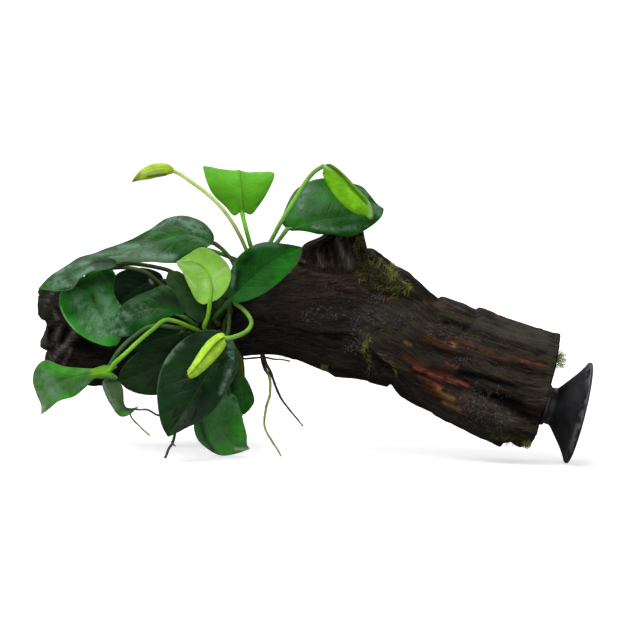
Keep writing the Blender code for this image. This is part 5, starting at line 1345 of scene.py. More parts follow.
def make_leaf(name, leaf, blade, finish, seed):
    sheet, out, grid = blade_surface(leaf, blade, seed)
    line, radii = stalk_line(leaf, sheet, out)
    body = sheet_body(sheet, out, blade_thickness(grid))
    piece = add_leaf(name, body, line, radii, out[0, BLADE_COLUMNS // 2], finish, leaf["material"])
    leaf_values(piece, grid, len(line), blade.tint, blade.stem)
    add_values(piece, bloom=np.full(len(piece.data.vertices), blade.bloom))


# Young leaves, still rolled or folded. A way is that of the sheet round its axis: across, towards the
# viewer and how much painted shade the leaf's hollow gets there, for each row along it.

def roll_way(seam, gape, overlap):
    """A spiral whose free edge, at the angle "seam", stands open by "gape" towards the leaf's base."""
    t = np.linspace(0.0, 1.0, ROLL_ROWS)[:, None]
    turn = np.radians(np.linspace(seam, seam + 360 + overlap, ROLL_COLUMNS))[None, :]
    away = turn - math.radians(seam)
    open_here = gape * (1 - smooth_step(0.0, 0.85, t)) + 0.12
    lip = 1.0 + 0.1 * bump(away, 0.0, 0.25)
    inner = 1.0 - open_here * smooth_step(math.radians(285), math.radians(355), away)
    inner = inner - 0.25 * smooth_step(math.radians(340), math.radians(360 + overlap), away)
    radius = lip * inner
    # painted shade inside the roll, darkest by the seam and towards the base
    hollow = smooth_step(math.radians(285), math.radians(350), away) * (1 - 0.6 * t)
    return np.stack([np.cos(turn) * radius, np.sin(turn) * radius, hollow], axis=-1)


def fold_way():
    """A leaf folded along its midrib, the same all along, with painted shade on its far half."""
    t = np.linspace(0.0, 1.0, ROLL_COLUMNS)
    way = Path(FOLD).at(t)
    hollow = 0.6 * smooth_step(0.62, 0.8, t)
    return np.tile(np.column_stack([way, hollow]), (ROLL_ROWS, 1, 1))


def young_surface(axis, across, half_width, half_depth, way, seed):
    """Middle surface of a rolled or folded blade round an axis line, and the directions out of it."""
    along = unit(np.gradient(axis, axis=0))
    across = unit(across - along * np.sum(across * along, axis=-1, keepdims=True))
    front = np.cross(across, along)
    front = np.where(front[:, 1:2] > 0, -front, front)
    sheet = axis[:, None] + across[:, None] * (way[..., 0] * half_width[:, None])[..., None]
    sheet = sheet + front[:, None] * (way[..., 1] * half_depth[:, None])[..., None]
    out = unit(np.cross(np.gradient(sheet, axis=1), np.gradient(sheet, axis=0)))
    if np.sum((sheet - axis[:, None]) * out) < 0:
        out = -out
    return sheet + out * (0.12 * MM * layered_grain(sheet / (3 * MM) + seed, 2, seed))[..., None], out


def young_stalk(leaf, axis, radius):
    """Middle line and radii of a petiole that ends inside a young blade."""
    t = np.linspace(0.0, 1.0, STALK_ROWS)
    line = petiole_path(leaf, leaf_base(leaf)).at(t)
    radii = radius * (1 + 0.9 * np.exp(-t * (line_length(line) / MM) / 2.0))
    line = np.concatenate([line, axis[2:ROLL_ROWS // 3:2]])
    return line, np.concatenate([radii, radii[-1] * np.linspace(0.95, 0.3, len(line) - STALK_ROWS)])


def leaf_base(leaf):
    """Where a leaf's blade begins."""
    if "body" in leaf:
        return bud_path(leaf).at(0.0)
    return blade_paths(leaf)[0].at(0.0)


def bud_path(bud):
    return Path([photo_point(column, row, bud["depth"]) for column, row, _ in bud["body"]])


def young_axis(leaf):
    """Axis line of a young leaf, the direction across it, and its half width and half depth along it."""
    if "body" in leaf:
        body, t = bud_path(leaf), np.linspace(0.0, 0.995, ROLL_ROWS)
        widths = Path([(width * MM,) for _, _, width in leaf["body"]], body.knots).at(t)[:, 0]
        half = np.maximum(widths, 0.25 * MM)
        return body.at(t), BUD_ACROSS, half, half * 0.9
    _, left, right = blade_paths(leaf)
    t = np.linspace(0.0, 0.985, ROLL_ROWS)
    a, b = left.at(t), right.at(t)
    half = np.linalg.norm(b - a, axis=-1) / 2
    half = np.maximum(half * (0.45 + 0.55 * smooth_step(0.0, 0.1, t)), 0.7 * MM)
    depth = np.minimum(half, leaf["thickness"] * MM * 0.52 * np.clip((1 - t) / 0.3, 0.35, 1))
    return 0.5 * (a + b), unit(right.at(0.45) - left.at(0.45)), half, depth


def make_young_leaf(name, leaf, young, finish):
    """A petiole and a rolled or folded blade, scorched at its tip, with painted shade in its hollow."""
    axis, across, half_width, half_depth = young_axis(leaf)
    way = roll_way(*young.roll) if young.roll else fold_way()
    sheet, out = young_surface(axis, across, half_width, half_depth, way, young.seed)
    t = np.linspace(0, 1, ROLL_ROWS)[:, None]
    grid = grid_values(np.linspace(-1, 1, ROLL_COLUMNS)[None, :], t, half_width[:, None])
    ends = np.clip(grid[..., 1] * 12, 0.4, 1) * np.clip((1 - grid[..., 1]) * 12, 0.4, 1)
    line, radii = young_stalk(leaf, axis, PETIOLE_RADIUS * young.stalk)
    body = sheet_body(sheet, out, YOUNG_THICKNESS * ends)
    piece = add_leaf(name, body, line, radii, (0.2, 1.0, 0.1), finish, leaf["material"])
    leaf_values(piece, grid, len(line), young.tint, young.stem)
    rest = np.zeros(len(piece.data.vertices) - len(body[0]))
    # the hollow's painted shade, and the scorched tip
    hollow, scorch = way[..., 2].ravel(), smooth_step(0.93, 0.99, grid[..., 1]).ravel()
    add_values(piece, hollow=np.concatenate([hollow, hollow, rest]),
               scorch=np.concatenate([scorch, scorch, rest]))


# Driftwood

def fine_forms(points, facing, folds=FINE_FOLDS, steps=FINE_STEPS):
    """Relief in mm of the named lines and edges at points, where they face the viewer."""
    column, row = photo_place(points)
    column = column + 1.1 * layered_grain(points / (4 * MM), 2, 40)
    row = row + 1.1 * layered_grain(points / (4 * MM), 2, 50)
    return lined_relief(column, row, folds, steps, FINE_STEP_EDGE) * smooth_step(0.0, 0.3, facing)


def wood_stains_and_painted_light(piece, points, facing):
    """Per-point strengths of each kind of stain and of painted shade and highlight.
    What the photograph can't show gets scattered ones.
    """
    column, row = photo_place(points)
    column = column + 2.0 * layered_grain(points / (4 * MM), 2, 60)
    row = row + 0.6 * layered_grain(points / (3 * MM), 2, 70)
    shown = smooth_step(0.0, 0.35, facing)
    for number, (kind, stains) in enumerate(WOOD_STAINS_AND_PAINTED_LIGHT.items()):
        strength = np.max([most * nearness(column, row, line, width)
                           for most, width, line in stains], axis=0)
        scattered = layered_grain(points / (np.array(SCATTER_SIZE) * MM), 3, 160 + 5 * number)
        scattered = smooth_step(0.35, 0.75, scattered) * SCATTERED.get(kind, OTHER_SCATTERED)
        add_values(piece, **{kind: strength * shown + scattered * (1 - shown)})


def trunk_grain(along, angle):
    """Fine relief in mm of the weathered wood: fibres, narrow ridges, cracks and flakes."""
    a = np.radians(angle)
    turn = a + 0.25 * grain(round_wood(along / 24, a, 1.5), 5)
    ridges = layered_grain(round_wood(along / 40, turn, TRUNK_RADIUS / 3.6), 3, 11)
    flakes = grain(round_wood(along / 15, turn, TRUNK_RADIUS / 6.0), 23)
    fibres = layered_grain(round_wood(along / 16, turn, TRUNK_RADIUS / 1.3), 2, 31)
    crack = np.abs(grain(round_wood(along / 40, turn, TRUNK_RADIUS / 5.0), 47))
    knots = layered_grain(round_wood(along / 9, a, TRUNK_RADIUS / 9), 2, 53)
    relief = 0.3 * ridges + 0.45 * smooth_step(0.12, 0.22, flakes) + 0.18 * fibres + 0.15 * knots
    return relief - 0.65 * (1 - smooth_step(0.0, 0.07, crack)) - 0.15


def end_reach(height, depth):
    """How far in m the broken left end stands out at a height and a depth, each from -1 to 1."""
    heights, reach = zip(*END_LINE)
    places = np.stack(np.broadcast_arrays(2.5 * height, 1.5 * depth, 0.0), axis=-1)
    height = height + 0.12 * depth * grain(places, 87)
    return (1.03 * np.interp(height, heights, reach) + 1.2) * (1 - 0.75 * depth ** 2) * PIXEL


def rough_face(column, angle):
    """Places of the trunk's side before its outline is trimmed, and the relief in mm."""
    points = trunk_point(column, angle)
    a = np.radians(angle)
    out = unit(points - trunk_middle(column))
    relief = trunk_grain(column * PIXEL / MM, angle)
    end = 1 - smooth_step(*END_FADES, column)
    relief = relief + end * (1.2 * layered_grain(points / (8 * MM), 2, 71) - 0.3)
    gnarl = 1 - smooth_step(*GNARLS_FADE, column)
    relief = relief + gnarl * 0.9 * layered_grain(points / (2.6 * MM), 2, 76)
    relief = relief + fine_forms(points, np.cos(a))
    points = points + out * (relief * MM)[..., None]
    stretch = 1 - smooth_step(TRUNK_COLUMNS[0], TRUNK_COLUMNS[0] + END_REACH, column)
    points[..., 0] -= end_reach(np.sin(a), np.cos(a)) * stretch
    cut = smooth_step(TRUNK_COLUMNS[-1] - CUT_REACH, TRUNK_COLUMNS[-1], column)
    points[..., 0] -= CUT_BACK * MM * cut * np.maximum(np.cos(a), 0.0)
    return points, relief


def edge_trim(line, angle, first):
    """Columns along the trunk, and how far in px its edge there must sink to lie on the outline's line."""
    columns = np.linspace(TRUNK_COLUMNS[0], TRUNK_COLUMNS[-1], TRIM_PLACES)
    places, rows = photo_place(rough_face(columns, np.full(TRIM_PLACES, angle))[0])
    even = np.convolve(np.pad(rows, TRIM_EVEN, mode="edge"), np.ones(2 * TRIM_EVEN + 1), "valid")
    trim = np.interp(places, *zip(*line)) - even / (2 * TRIM_EVEN + 1)
    seen = smooth_step(first - 12, first, columns) + (1 - smooth_step(*END_FOLLOWED, columns)) * (angle > 0)
    return columns, trim * seen


UPPER_TRIM = edge_trim(UPPER_LINE, 90.0, UPPER_SEEN)
LOWER_TRIM = edge_trim(LOWER_LINE, -90.0, LOWER_SEEN)


def trunk_face(column, angle):
    """Fine places of the trunk's side, and its relief in mm."""
    column, angle = np.broadcast_arrays(column, angle)
    points, relief = rough_face(column, angle)
    sine = np.sin(np.radians(angle))
    drop = np.interp(column, *UPPER_TRIM) * smooth_step(0.35, 1.0, sine)
    drop = drop + np.interp(column, *LOWER_TRIM) * smooth_step(0.35, 1.0, -sine)
    points[..., 2] -= drop * PIXEL
    return points, relief


def face_place(column, row):
    """Places on the trunk where the photograph shows a column and a row, and the way out of the wood."""
    own, angle = np.array(column, float), np.zeros(np.shape(column))
    for _ in range(9):
        x, y = photo_place(trunk_face(own, angle)[0])
        high, low = (np.interp(own, TRUNK_COLUMNS, rows) for rows in (UPPER_ROWS, LOWER_ROWS))
        own = np.clip(own + 0.8 * (column - x), TRUNK_COLUMNS[0], TRUNK_COLUMNS[-1])
        sine = np.sin(np.radians(angle)) - 0.8 * (row - y) / ((low - high) / 2)
        angle = np.degrees(np.arcsin(np.clip(sine, -0.97, 0.95)))
    ground = trunk_face(own, angle)[0]
    return ground, unit(ground - trunk_middle(own))


def on_wood(column, row, lift):
    """Places in metres above the wood where the photograph shows columns and rows."""
    ground, out = face_place(column, row)
    return ground + out * lift[..., None]


def broken_end_rings(first_ring, column):
    """Rings from the middle of the broken left end out to the trunk's first ring."""
    middle = trunk_middle(column)
    turn = full_turn(TRUNK_COUNT)
    flat = first_ring.copy()
    flat[:, 0] += end_reach(np.sin(turn), np.cos(turn))
    rings = []
    for share in np.linspace(0.04, 0.985, END_ROWS):
        ring = middle + (flat - middle) * share
        ring[:, 0] -= end_reach(share * np.sin(turn), share * np.cos(turn))
        knobs = 0.7 * layered_grain(ring / (6 * MM), 3, 83)
        hollow = -1.6 * smooth_step(0.2, 0.6, grain(ring / (4 * MM), 91))
        forms = 0.7 * fine_forms(ring, np.maximum(np.cos(turn), 0.0) + 0.3)
        ring[:, 0] -= (knobs + hollow + forms) * (1 - share ** 6) * MM
        ring[:, 1] -= forms * (1 - share ** 6) * MM
        rings.append(ring)
    return np.array(rings)


def cut_end_rings(last_ring, shares):
    """Rings from the trunk's last ring over the sawn end to the rim and the floor of the peg's hole."""
    seat, axis, _ = cup_seat()
    turn = full_turn(TRUNK_COUNT)[:, None]
    arm = np.cross(axis, BACKWARD) * np.sin(turn) - BACKWARD * np.cos(turn)
    hole = seat + arm * (CUP_PEG_RADIUS + CLEARANCE)
    end_top, _, normal = end_frame()
    stand = (last_ring - end_top) @ normal
    flat = last_ring - normal * stand[:, None]
    rings = []
    for share in shares:
        ring = hole + (flat - hole) * share
        rough = 0.12 * grain(ring / (0.9 * MM), 97) + 0.25 * grain(ring / (4 * MM), 98) - 0.35
        chips = -0.9 * smooth_step(0.8, 1.0, share) * smooth_step(0.05, 0.6, grain(ring / (3 * MM), 99))
        rings.append(ring + normal * ((rough + chips) * MM + stand * share ** 3)[:, None])
    rings.append(hole - axis * (CUP_PEG_LENGTH + CLEARANCE))
    return np.array(rings)


def strands(lines, thicknesses, first=0):
    """Points, quads and tris of many thin three-sided strands."""
    tubes = []
    for number, (line, thickness) in enumerate(zip(lines, thicknesses)):
        radii = thickness * (1.0 - 0.7 * np.linspace(0, 1, STRAND_POINTS))
        tubes.append(closed_tube(tube_rings(line, radii, (0.3, 0.5, 0.8), STRAND_SIDES),
                                 first + number * STRAND_SIZE))
    return joined(*tubes)


def wander(spots, heading, step):
    """Columns and rows of lines that leave spots in steps of one length, each with a heading of its own."""
    return (spots[:, :1] + np.cumsum(step * np.cos(heading), axis=1),
            spots[:, 1:] + np.cumsum(step * np.sin(heading), axis=1))


def hair_lines(chance):
    """Lines and thicknesses of the thin threads in their tangles on the wood."""
    spots = []
    for tangles, each, width, line in HAIR_TANGLES:
        way = Path(line).at(chance.uniform(0, 1, tangles))
        spot = way + chance.normal(0, 0.6 * width, (tangles, 2))
        spots.append(np.repeat(spot, each, axis=0) + chance.normal(0, 1.9, (tangles * each, 2)))
    spots = np.concatenate(spots)
    count = len(spots)
    t = np.linspace(0.0, 1.0, STRAND_POINTS)[None, :]
    heading = chance.uniform(0, 2 * np.pi, (count, 1)) + chance.normal(0, 2.2, (count, 1)) * t
    step = chance.uniform(2.0, 5.5, (count, 1)) / STRAND_POINTS
    column, row = wander(spots, heading, step)
    rise = 0.05 + chance.uniform(0.1, 0.8, (count, 1)) * np.sin(np.pi * t)
    return on_wood(column, row, rise * MM), chance.uniform(*HAIR_SIZES, count) * MM


def twig_line(line):
    """A stick at one depth, which starts on the wood."""
    column, row = Path(line).at(np.linspace(0, 1, STRAND_POINTS)).T
    foot = on_wood(column[:1], row[:1], np.array([0.3 * MM]))[0]
    return photo_point(column, row, (foot[1] - AIM[1]) / MM)


def wood_hairs(first, chance):
    """Points, quads and tris of the threads and sticks on the wood, and how pale each point is."""
    lines, sizes = hair_lines(chance)
    lines = np.concatenate([lines, [twig_line(line) for _, line in TWIGS]])
    sizes = np.concatenate([sizes, [size * MM for size, _ in TWIGS]])
    pale = chance.uniform(0, 1, len(lines))
    pale[-len(TWIGS):] = 0.0
    return *strands(lines, sizes, first), np.repeat(pale, STRAND_SIZE)


def make_trunk(finish):
    """The trunk: its side, its broken end, its sawn end with the peg's hole, and the threads on it."""
    columns = np.linspace(TRUNK_COLUMNS[0], TRUNK_COLUMNS[-1], TRUNK_ROWS)
    angles = full_turn(TRUNK_COUNT, 360.0)
    shares = 1 - np.linspace(0.03, 1.0, CUT_ROWS) ** 1.2
    side, relief = trunk_face(columns[:, None], angles[None, :])
    left, right = broken_end_rings(side[0], columns[0]), cut_end_rings(side[-1], shares)
    body = closed_tube(np.concatenate([left, side, right]))
    *hairs, pale = wood_hairs(len(body[0]), np.random.default_rng(HAIR_SEED))
    points, quads, tris = joined(body, hairs)
    piece = add_piece("driftwood_trunk", points, quads, tris, finish, "driftwood_bark")

    counts = (END_ROWS, TRUNK_ROWS, len(right))
    along = np.pad(columns, (END_ROWS, len(right)), mode="edge")[:, None]
    ends = np.concatenate([np.linspace(1, 0, END_ROWS), np.zeros(TRUNK_ROWS + len(right))])
    cut = np.repeat((0.0, 0.0, 1.0), counts)
    relief = np.concatenate([relief[:1]] * END_ROWS + [relief, np.zeros((len(right), TRUNK_COUNT))])
    turn = np.broadcast_to(np.radians(angles), relief.shape)
    fibre = round_wood(along * PIXEL_MM / 14, turn, TRUNK_RADIUS)
    fibre[:END_ROWS] = left / (1.6 * MM)
    rings = 1 - np.linspace(0.03, 1.0, CUT_ROWS + 1)[:, None] ** 1.2
    fibre[-CUT_ROWS - 1:] = round_wood(rings * YEAR_RINGS, turn[-CUT_ROWS - 1:], 0.5)
    rest = len(hairs[0])
    add_values(piece, fibre=padded(fibre.reshape(-1, 3), rest), relief=padded(relief.ravel(), rest),
               ends=padded(np.repeat(ends, TRUNK_COUNT), rest),
               cut=padded(np.repeat(cut, TRUNK_COUNT), rest),
               hair=np.concatenate([np.zeros(len(body[0])), pale]),
               olive=padded(np.repeat(smooth_step(*TURNS_OLIVE, along), TRUNK_COUNT), rest))
    wood_stains_and_painted_light(piece, points, padded(np.cos(turn).ravel(), rest))


def stub_side(h, turn):
    """Places of the stub's side, with deep upright fibres and a spreading foot, and its relief in mm."""
    a = np.radians(turn)
    points = stub_point(h, turn)
    out = unit(points - (STUB_LEFT.at(h) + STUB_RIGHT.at(h)) / 2)
    upright = np.stack((12 * np.cos(a), 12 * np.sin(a), h * STUB_HEIGHT), axis=-1)
    folds = layered_grain(upright / np.array((4.2, 4.2, 18.0)), 2, 101)
    fibres = layered_grain(upright / np.array((1.5, 1.5, 16.0)), 2, 111)
    crack = np.abs(grain(upright / np.array((4.0, 4.0, 26.0)), 121))
    relief = 0.7 * folds + 0.4 * fibres - 1.0 * (1 - smooth_step(0.0, 0.10, crack)) - 0.3
    relief = relief * smooth_step(0.38, 0.62, h) + fine_forms(points, -np.sin(a), STUB_FOLDS, ())
    foot = 0.9 * (1 - smooth_step(0.35, 0.75, h)) - 2.4 * (1 - smooth_step(0.14, 0.42, h))
    points = points + out * ((relief + foot * np.abs(np.sin(a))) * MM)[..., None]
    splinters = layered_grain(upright / np.array((1.6, 1.6, 60.0)), 2, 131)
    points[..., 2] += MM * (1.3 * splinters + 0.3) * smooth_step(0.8, 1.0, h)
    return points, relief


def stub_top(last):
    """Rings from the stub's last ring over its splintered top."""
    top = photo_point(*STUB_TOP, STUB_MIDDLE)
    rings = []
    for share in np.linspace(0.93, 0.05, STUB_TOP_ROWS):
        ring = top + (last - top) * share
        torn = layered_grain(ring / (np.array((1.4, 1.4, 30)) * MM), 2, 141)
        ring[:, 2] = last[:, 2] * share + (top[2] - 2.2 * MM) * (1 - share) + MM * 1.5 * torn
        rings.append(ring)
    return np.array(rings)


def make_stub(finish):
    heights, turns = np.linspace(0.12, 1.0, STUB_ROWS), full_turn(STUB_COUNT, 360.0)
    side, relief = stub_side(*np.broadcast_arrays(heights[:, None], turns[None, :]))
    points, quads, tris = closed_tube(np.concatenate([side, stub_top(side[-1])]))
    piece = add_piece("driftwood_stub", points, quads, tris, finish, "driftwood_stub_bark")
    around = np.tile(np.radians(turns), (STUB_ROWS + STUB_TOP_ROWS, 1))
    top = np.linspace(STUB_HEIGHT, STUB_HEIGHT + 4, STUB_TOP_ROWS)
    along = np.concatenate([heights * STUB_HEIGHT, top])
    relief = np.concatenate([relief, np.zeros((STUB_TOP_ROWS, STUB_COUNT))])
    add_values(piece, fibre=padded(round_wood(along[:, None] / 14, around, 14.0).reshape(-1, 3)),
               relief=padded(relief.ravel()))
    wood_stains_and_painted_light(piece, points, padded(-np.sin(around).ravel()))


# Rhizome and roots

def make_rhizome(finish):
    """The creeping stem: rings where old leaves stood, and small lumps."""
    t = np.linspace(0.0, 1.0, RHIZOME_ROWS)
    swell = np.interp(t, np.linspace(0, 1, len(RHIZOME_SWELL)), RHIZOME_SWELL)
    line = RHIZOME_PATH.at(t)
    ring_marks = np.abs(np.sin(np.pi * t * (line_length(line) / MM) / RHIZOME_RING_MM)) ** 0.4 - 0.8
    ends = np.sqrt(np.clip(1 - np.abs(2 * t - 1) ** 10, 0.05, 1))
    radii = RHIZOME_RADIUS * swell * ends + 0.35 * MM * ring_marks
    rings = tube_rings(line, radii, BACKWARD, RHIZOME_COUNT)
    out = unit(rings - line[:, None])
    rings = rings + out * (0.25 * MM * layered_grain(rings / (2.2 * MM), 2, 151))[..., None]
    add_piece("rhizome", *closed_tube(rings), finish, "rhizome_skin")


def make_root(name, root, finish, seed):
    """A thin root with small kinks, thicker where it leaves the rhizome, and its broken side tip."""
    points = [rhizome_point(*root["start"], ROOT_RADIUS)] if root["start"] else []
    points += [trunk_point(column, angle, ROOT_RADIUS + ROOT_LIFT) for column, angle in root["round_wood"]]
    points += [photo_point(*place) for place in root["hanging"]]
    t = np.linspace(0.0, 1.0, ROOT_ROWS)
    line = Path(points).at(t)
    wobble = np.stack([grain(line / (3.2 * MM) + seed * 5.1, seed + i) for i in range(3)], axis=-1)
    line = line + wobble * 0.28 * MM * np.minimum(1, t * 8)[:, None]
    radii = ROOT_RADIUS * (1.15 - root.get("taper", ROOT_TAPER) * t)
    radii = radii * (1 + 0.12 * grain(line / (1.5 * MM), seed + 9))
    tubes = [closed_tube(tube_rings(line, radii, ROOT_SIDE, ROOT_COUNT))]
    along = padded(np.repeat(t, ROOT_COUNT))
    if "side_tip" in root:
        line = Path([photo_point(*place) for place in root["side_tip"]]).at(t)
        rings = tube_rings(line, ROOT_RADIUS * (0.8 - 0.5 * t), ROOT_SIDE, ROOT_COUNT)
        tubes.append(closed_tube(rings, len(along)))
        along = np.concatenate([0.85 * along, 0.5 + 0.5 * along])
    piece = add_piece(name, *joined(*tubes), finish, "root_skin")
    add_values(piece, along=along)


# Moss

def wisp_strands(wisps, chance):
    """Lines, thicknesses and shades of strands that follow the photograph's lines."""
    columns, rows, rises, shades = [], [], [], []
    t = np.linspace(0.0, 1.0, STRAND_POINTS)[None, :]
    for count, width, (dark, light), length, reach, line in wisps:
        way = Path(line)
        at = chance.uniform(0, 1, count)
        spot = way.at(at) + chance.normal(0, 0.6 * width, (count, 2))
        along = way.at(np.minimum(at + 0.02, 1.0)) - way.at(np.maximum(at - 0.02, 0.0))
        heading = np.arctan2(along[:, 1], along[:, 0])[:, None] + chance.normal(0, 0.45, (count, 1))
        heading = heading + chance.normal(0, 1.0, (count, 1)) * t
        step = length * chance.uniform(0.4, 1.3, (count, 1)) / STRAND_POINTS
        column, row = wander(spot, heading, step)
        columns.append(column - 2.5 * step)
        rows.append(row)
        high = reach * chance.uniform(0.2, 1.0, (count, 1))
        rises.append(0.15 + high * np.sin(np.pi * np.clip(t * chance.uniform(0.5, 1.0, (count, 1)), 0, 1)))
        shades.append(chance.uniform(dark, light, count))
    lines = on_wood(np.concatenate(columns), np.concatenate(rows), np.concatenate(rises) * MM)
    return lines, chance.uniform(*WISP_SIZES, len(lines)) * MM, np.concatenate(shades)


def tuft_strands(tuft, chance):
    """Lines, thicknesses and shades of strands that lie on a patch of the wood and rise from it."""
    ground = {"trunk": trunk_point, "stub": stub_point, "end": end_point}[tuft["on"]]
    count, t = tuft["count"], np.linspace(0.0, 1.0, STRAND_POINTS)[None, :]
    ranges = np.array((tuft["first"], tuft["second"]))
    first, second = (chance.uniform(low, high, (count, 1)) for low, high in ranges)
    first = first + (ranges[0, 1] - first) * tuft.get("upward", 0.0)
    sway = chance.normal(0.0, 1.0, (count, 2, 1))
    size = chance.uniform(0.4, 1.0, (count, 1))
    along, across = np.diff(ranges)[:, 0] * 0.16
    drift = np.array(tuft["drift"]) * 0.5
    first = (first + size * t * (drift[0] + along * sway[:, 0])
             + along * 0.3 * np.sin(5 * t + sway[:, 1] * 3))
    second = (second + size * t * (drift[1] + across * sway[:, 1])
              + across * 0.3 * np.sin(4 * t + sway[:, 0] * 3))
    first = np.clip(first, ranges[0].min() - abs(along), ranges[0].max() + abs(along))
    rise = tuft["reach"] * chance.uniform(0.25, 1.0, (count, 1))
    lift = (0.1 + rise * np.sin(np.pi * np.clip(t * chance.uniform(0.4, 1.0, (count, 1)), 0, 1))) * MM
    shades = chance.uniform(*tuft["shades"], count)
    return ground(first, second, lift), chance.uniform(*TUFT_SIZES, count) * MM, shades


def make_moss(name, moss, finish, chance):
    make_strands = tuft_strands if isinstance(moss, dict) else wisp_strands
    lines, thicknesses, shades = make_strands(moss, chance)
    piece = add_piece(name, *strands(lines, thicknesses), finish, "moss_strands")
    add_values(piece, shade=np.repeat(shades, STRAND_SIZE))


# Suction cup

def make_cup(finish):
    """A turned cup: peg, washer, neck, flared skirt, rounded lip and hollow dish, with wear and painted
    highlight on its edges.
    """
    seat, axis, reach = cup_seat()
    lip = reach / MM
    profile = CUP_PEG_PROFILE + tuple((lip + back, radius) for back, radius in CUP_SKIRT_PROFILE)
    up = np.cross(axis, BACKWARD)
    a = full_turn(CUP_COUNT)[:, None]
    arm = BACKWARD * np.sin(a) + up * np.cos(a)
    rings = np.array([seat + axis * (x * MM) + arm * (r * MM) for x, r in profile])
    piece = add_piece("suction_cup", *closed_tube(rings), finish, "cup_rubber")
    edges = (*CUP_WASHER_EDGES, lip - CUP_LIP_WIDTH)
    # wear and painted highlight along the washer's edges and the lip
    worn = [min(abs(x - edge) for edge in edges) < CUP_WEAR_AND_HIGHLIGHT_REACH for x, _ in profile]
    add_values(piece, worn=padded(np.repeat(worn, CUP_COUNT)))


# Materials

class Nodes:
    """Short ways to add and join the nodes of a tree."""

    def __init__(self, tree):
        self.nodes, self.links = tree.nodes, tree.links

    def feed(self, socket, value):
        if isinstance(value, bpy.types.NodeSocket):
            self.links.new(value, socket)
        elif isinstance(value, tuple) and len(value) == 3 and socket.type == "RGBA":
            socket.default_value = (*value, 1.0)
        else:
            socket.default_value = value

    def outputs(self, kind, inputs=None, **settings):
        """Outputs of a new node whose inputs are fed by name or number."""
        node = self.nodes.new(kind)
        for key, value in settings.items():
            setattr(node, key, value)
        for key, value in (inputs or {}).items():
            self.feed(node.inputs[key], value)
        return node.outputs

    def number(self, name):
        return self.outputs("ShaderNodeAttribute", attribute_name=name)["Fac"]

    def vector(self, name):
        return self.outputs("ShaderNodeAttribute", attribute_name=name)["Vector"]

    def parts(self, vector):
        return self.outputs("ShaderNodeSeparateXYZ", {0: vector})

    def together(self, x, y, z):
        return self.outputs("ShaderNodeCombineXYZ", {0: x, 1: y, 2: z})[0]

    def math(self, operation, a, b=0.0):
        return self.outputs("ShaderNodeMath", {0: a, 1: b}, operation=operation)[0]

    def by(self, a, *others):
        """The product of numbers."""
        for b in others:
            a = self.math("MULTIPLY", a, b)
        return a

    def plus(self, a, b):
        return self.math("ADD", a, b)

    def scaled(self, vector, x, y, z):
        return self.outputs("ShaderNodeVectorMath", {0: vector, 1: (x, y, z)}, operation="MULTIPLY")[0]

    def times(self, colour, share):
        """A colour times a number."""
        return self.outputs("ShaderNodeVectorMath", {0: colour, "Scale": share}, operation="SCALE")[0]

    def span(self, value, low, high, to_low=0.0, to_high=1.0):
        """A smooth step of a number from one range to another."""
        inputs = {"Value": value, "From Min": low, "From Max": high, "To Min": to_low, "To Max": to_high}
        return self.outputs("ShaderNodeMapRange", inputs, interpolation_type="SMOOTHSTEP")["Result"]

    def noise(self, vector, scale, detail=3.0, roughness=0.55, distortion=0.0):
        inputs = {"Vector": vector, "Scale": scale, "Detail": detail, "Roughness": roughness,
                  "Distortion": distortion}
        return self.outputs("ShaderNodeTexNoise", inputs)["Fac"]

    def mix(self, share, a, b):
        """A share of colour b in colour a. The node's colours are its sockets 6, 7 and 2."""
        return self.outputs("ShaderNodeMix", {0: share, 6: a, 7: b}, data_type="RGBA")[2]

    def bump(self, height, distance, strength=1.0):
        inputs = {"Strength": strength, "Distance": distance, "Height": height}
        return self.outputs("ShaderNodeBump", inputs)["Normal"]


class Shader(Nodes):
    """A material and the sockets of its base shader."""

    def __init__(self, name):
        self.material = bpy.data.materials.new(name)
        self.material.use_nodes = True
        super().__init__(self.material.node_tree)
        self.base = next(node for node in self.nodes if node.type == "BSDF_PRINCIPLED")
        self.place = self.outputs("ShaderNodeTexCoord")["Object"]

    def set(self, **values):
        for name, value in values.items():
            self.feed(self.base.inputs[name.replace("_", " ")], value)


# Marks on leaves and stains on the wood: kind, colour and the most that they cover. Some "pale" leaf marks
# are painted highlights.
MARK_COLOURS = (
    ("lime", (0.190, 0.520, 0.012), 0.9), ("pale", (0.42, 0.56, 0.30), 0.6),
    ("brown", (0.085, 0.055, 0.028), 0.85), ("scorch", (0.045, 0.028, 0.012), 1.0),
)
STAIN_COLOURS = (
    ("pale", (0.085, 0.082, 0.074), 0.55), ("green", (0.040, 0.052, 0.016), 0.6),
    ("warm", (0.120, 0.034, 0.009), 0.85), ("red", (0.380, 0.070, 0.042), 0.95),
    ("tan", (0.400, 0.215, 0.085), 0.95),
)


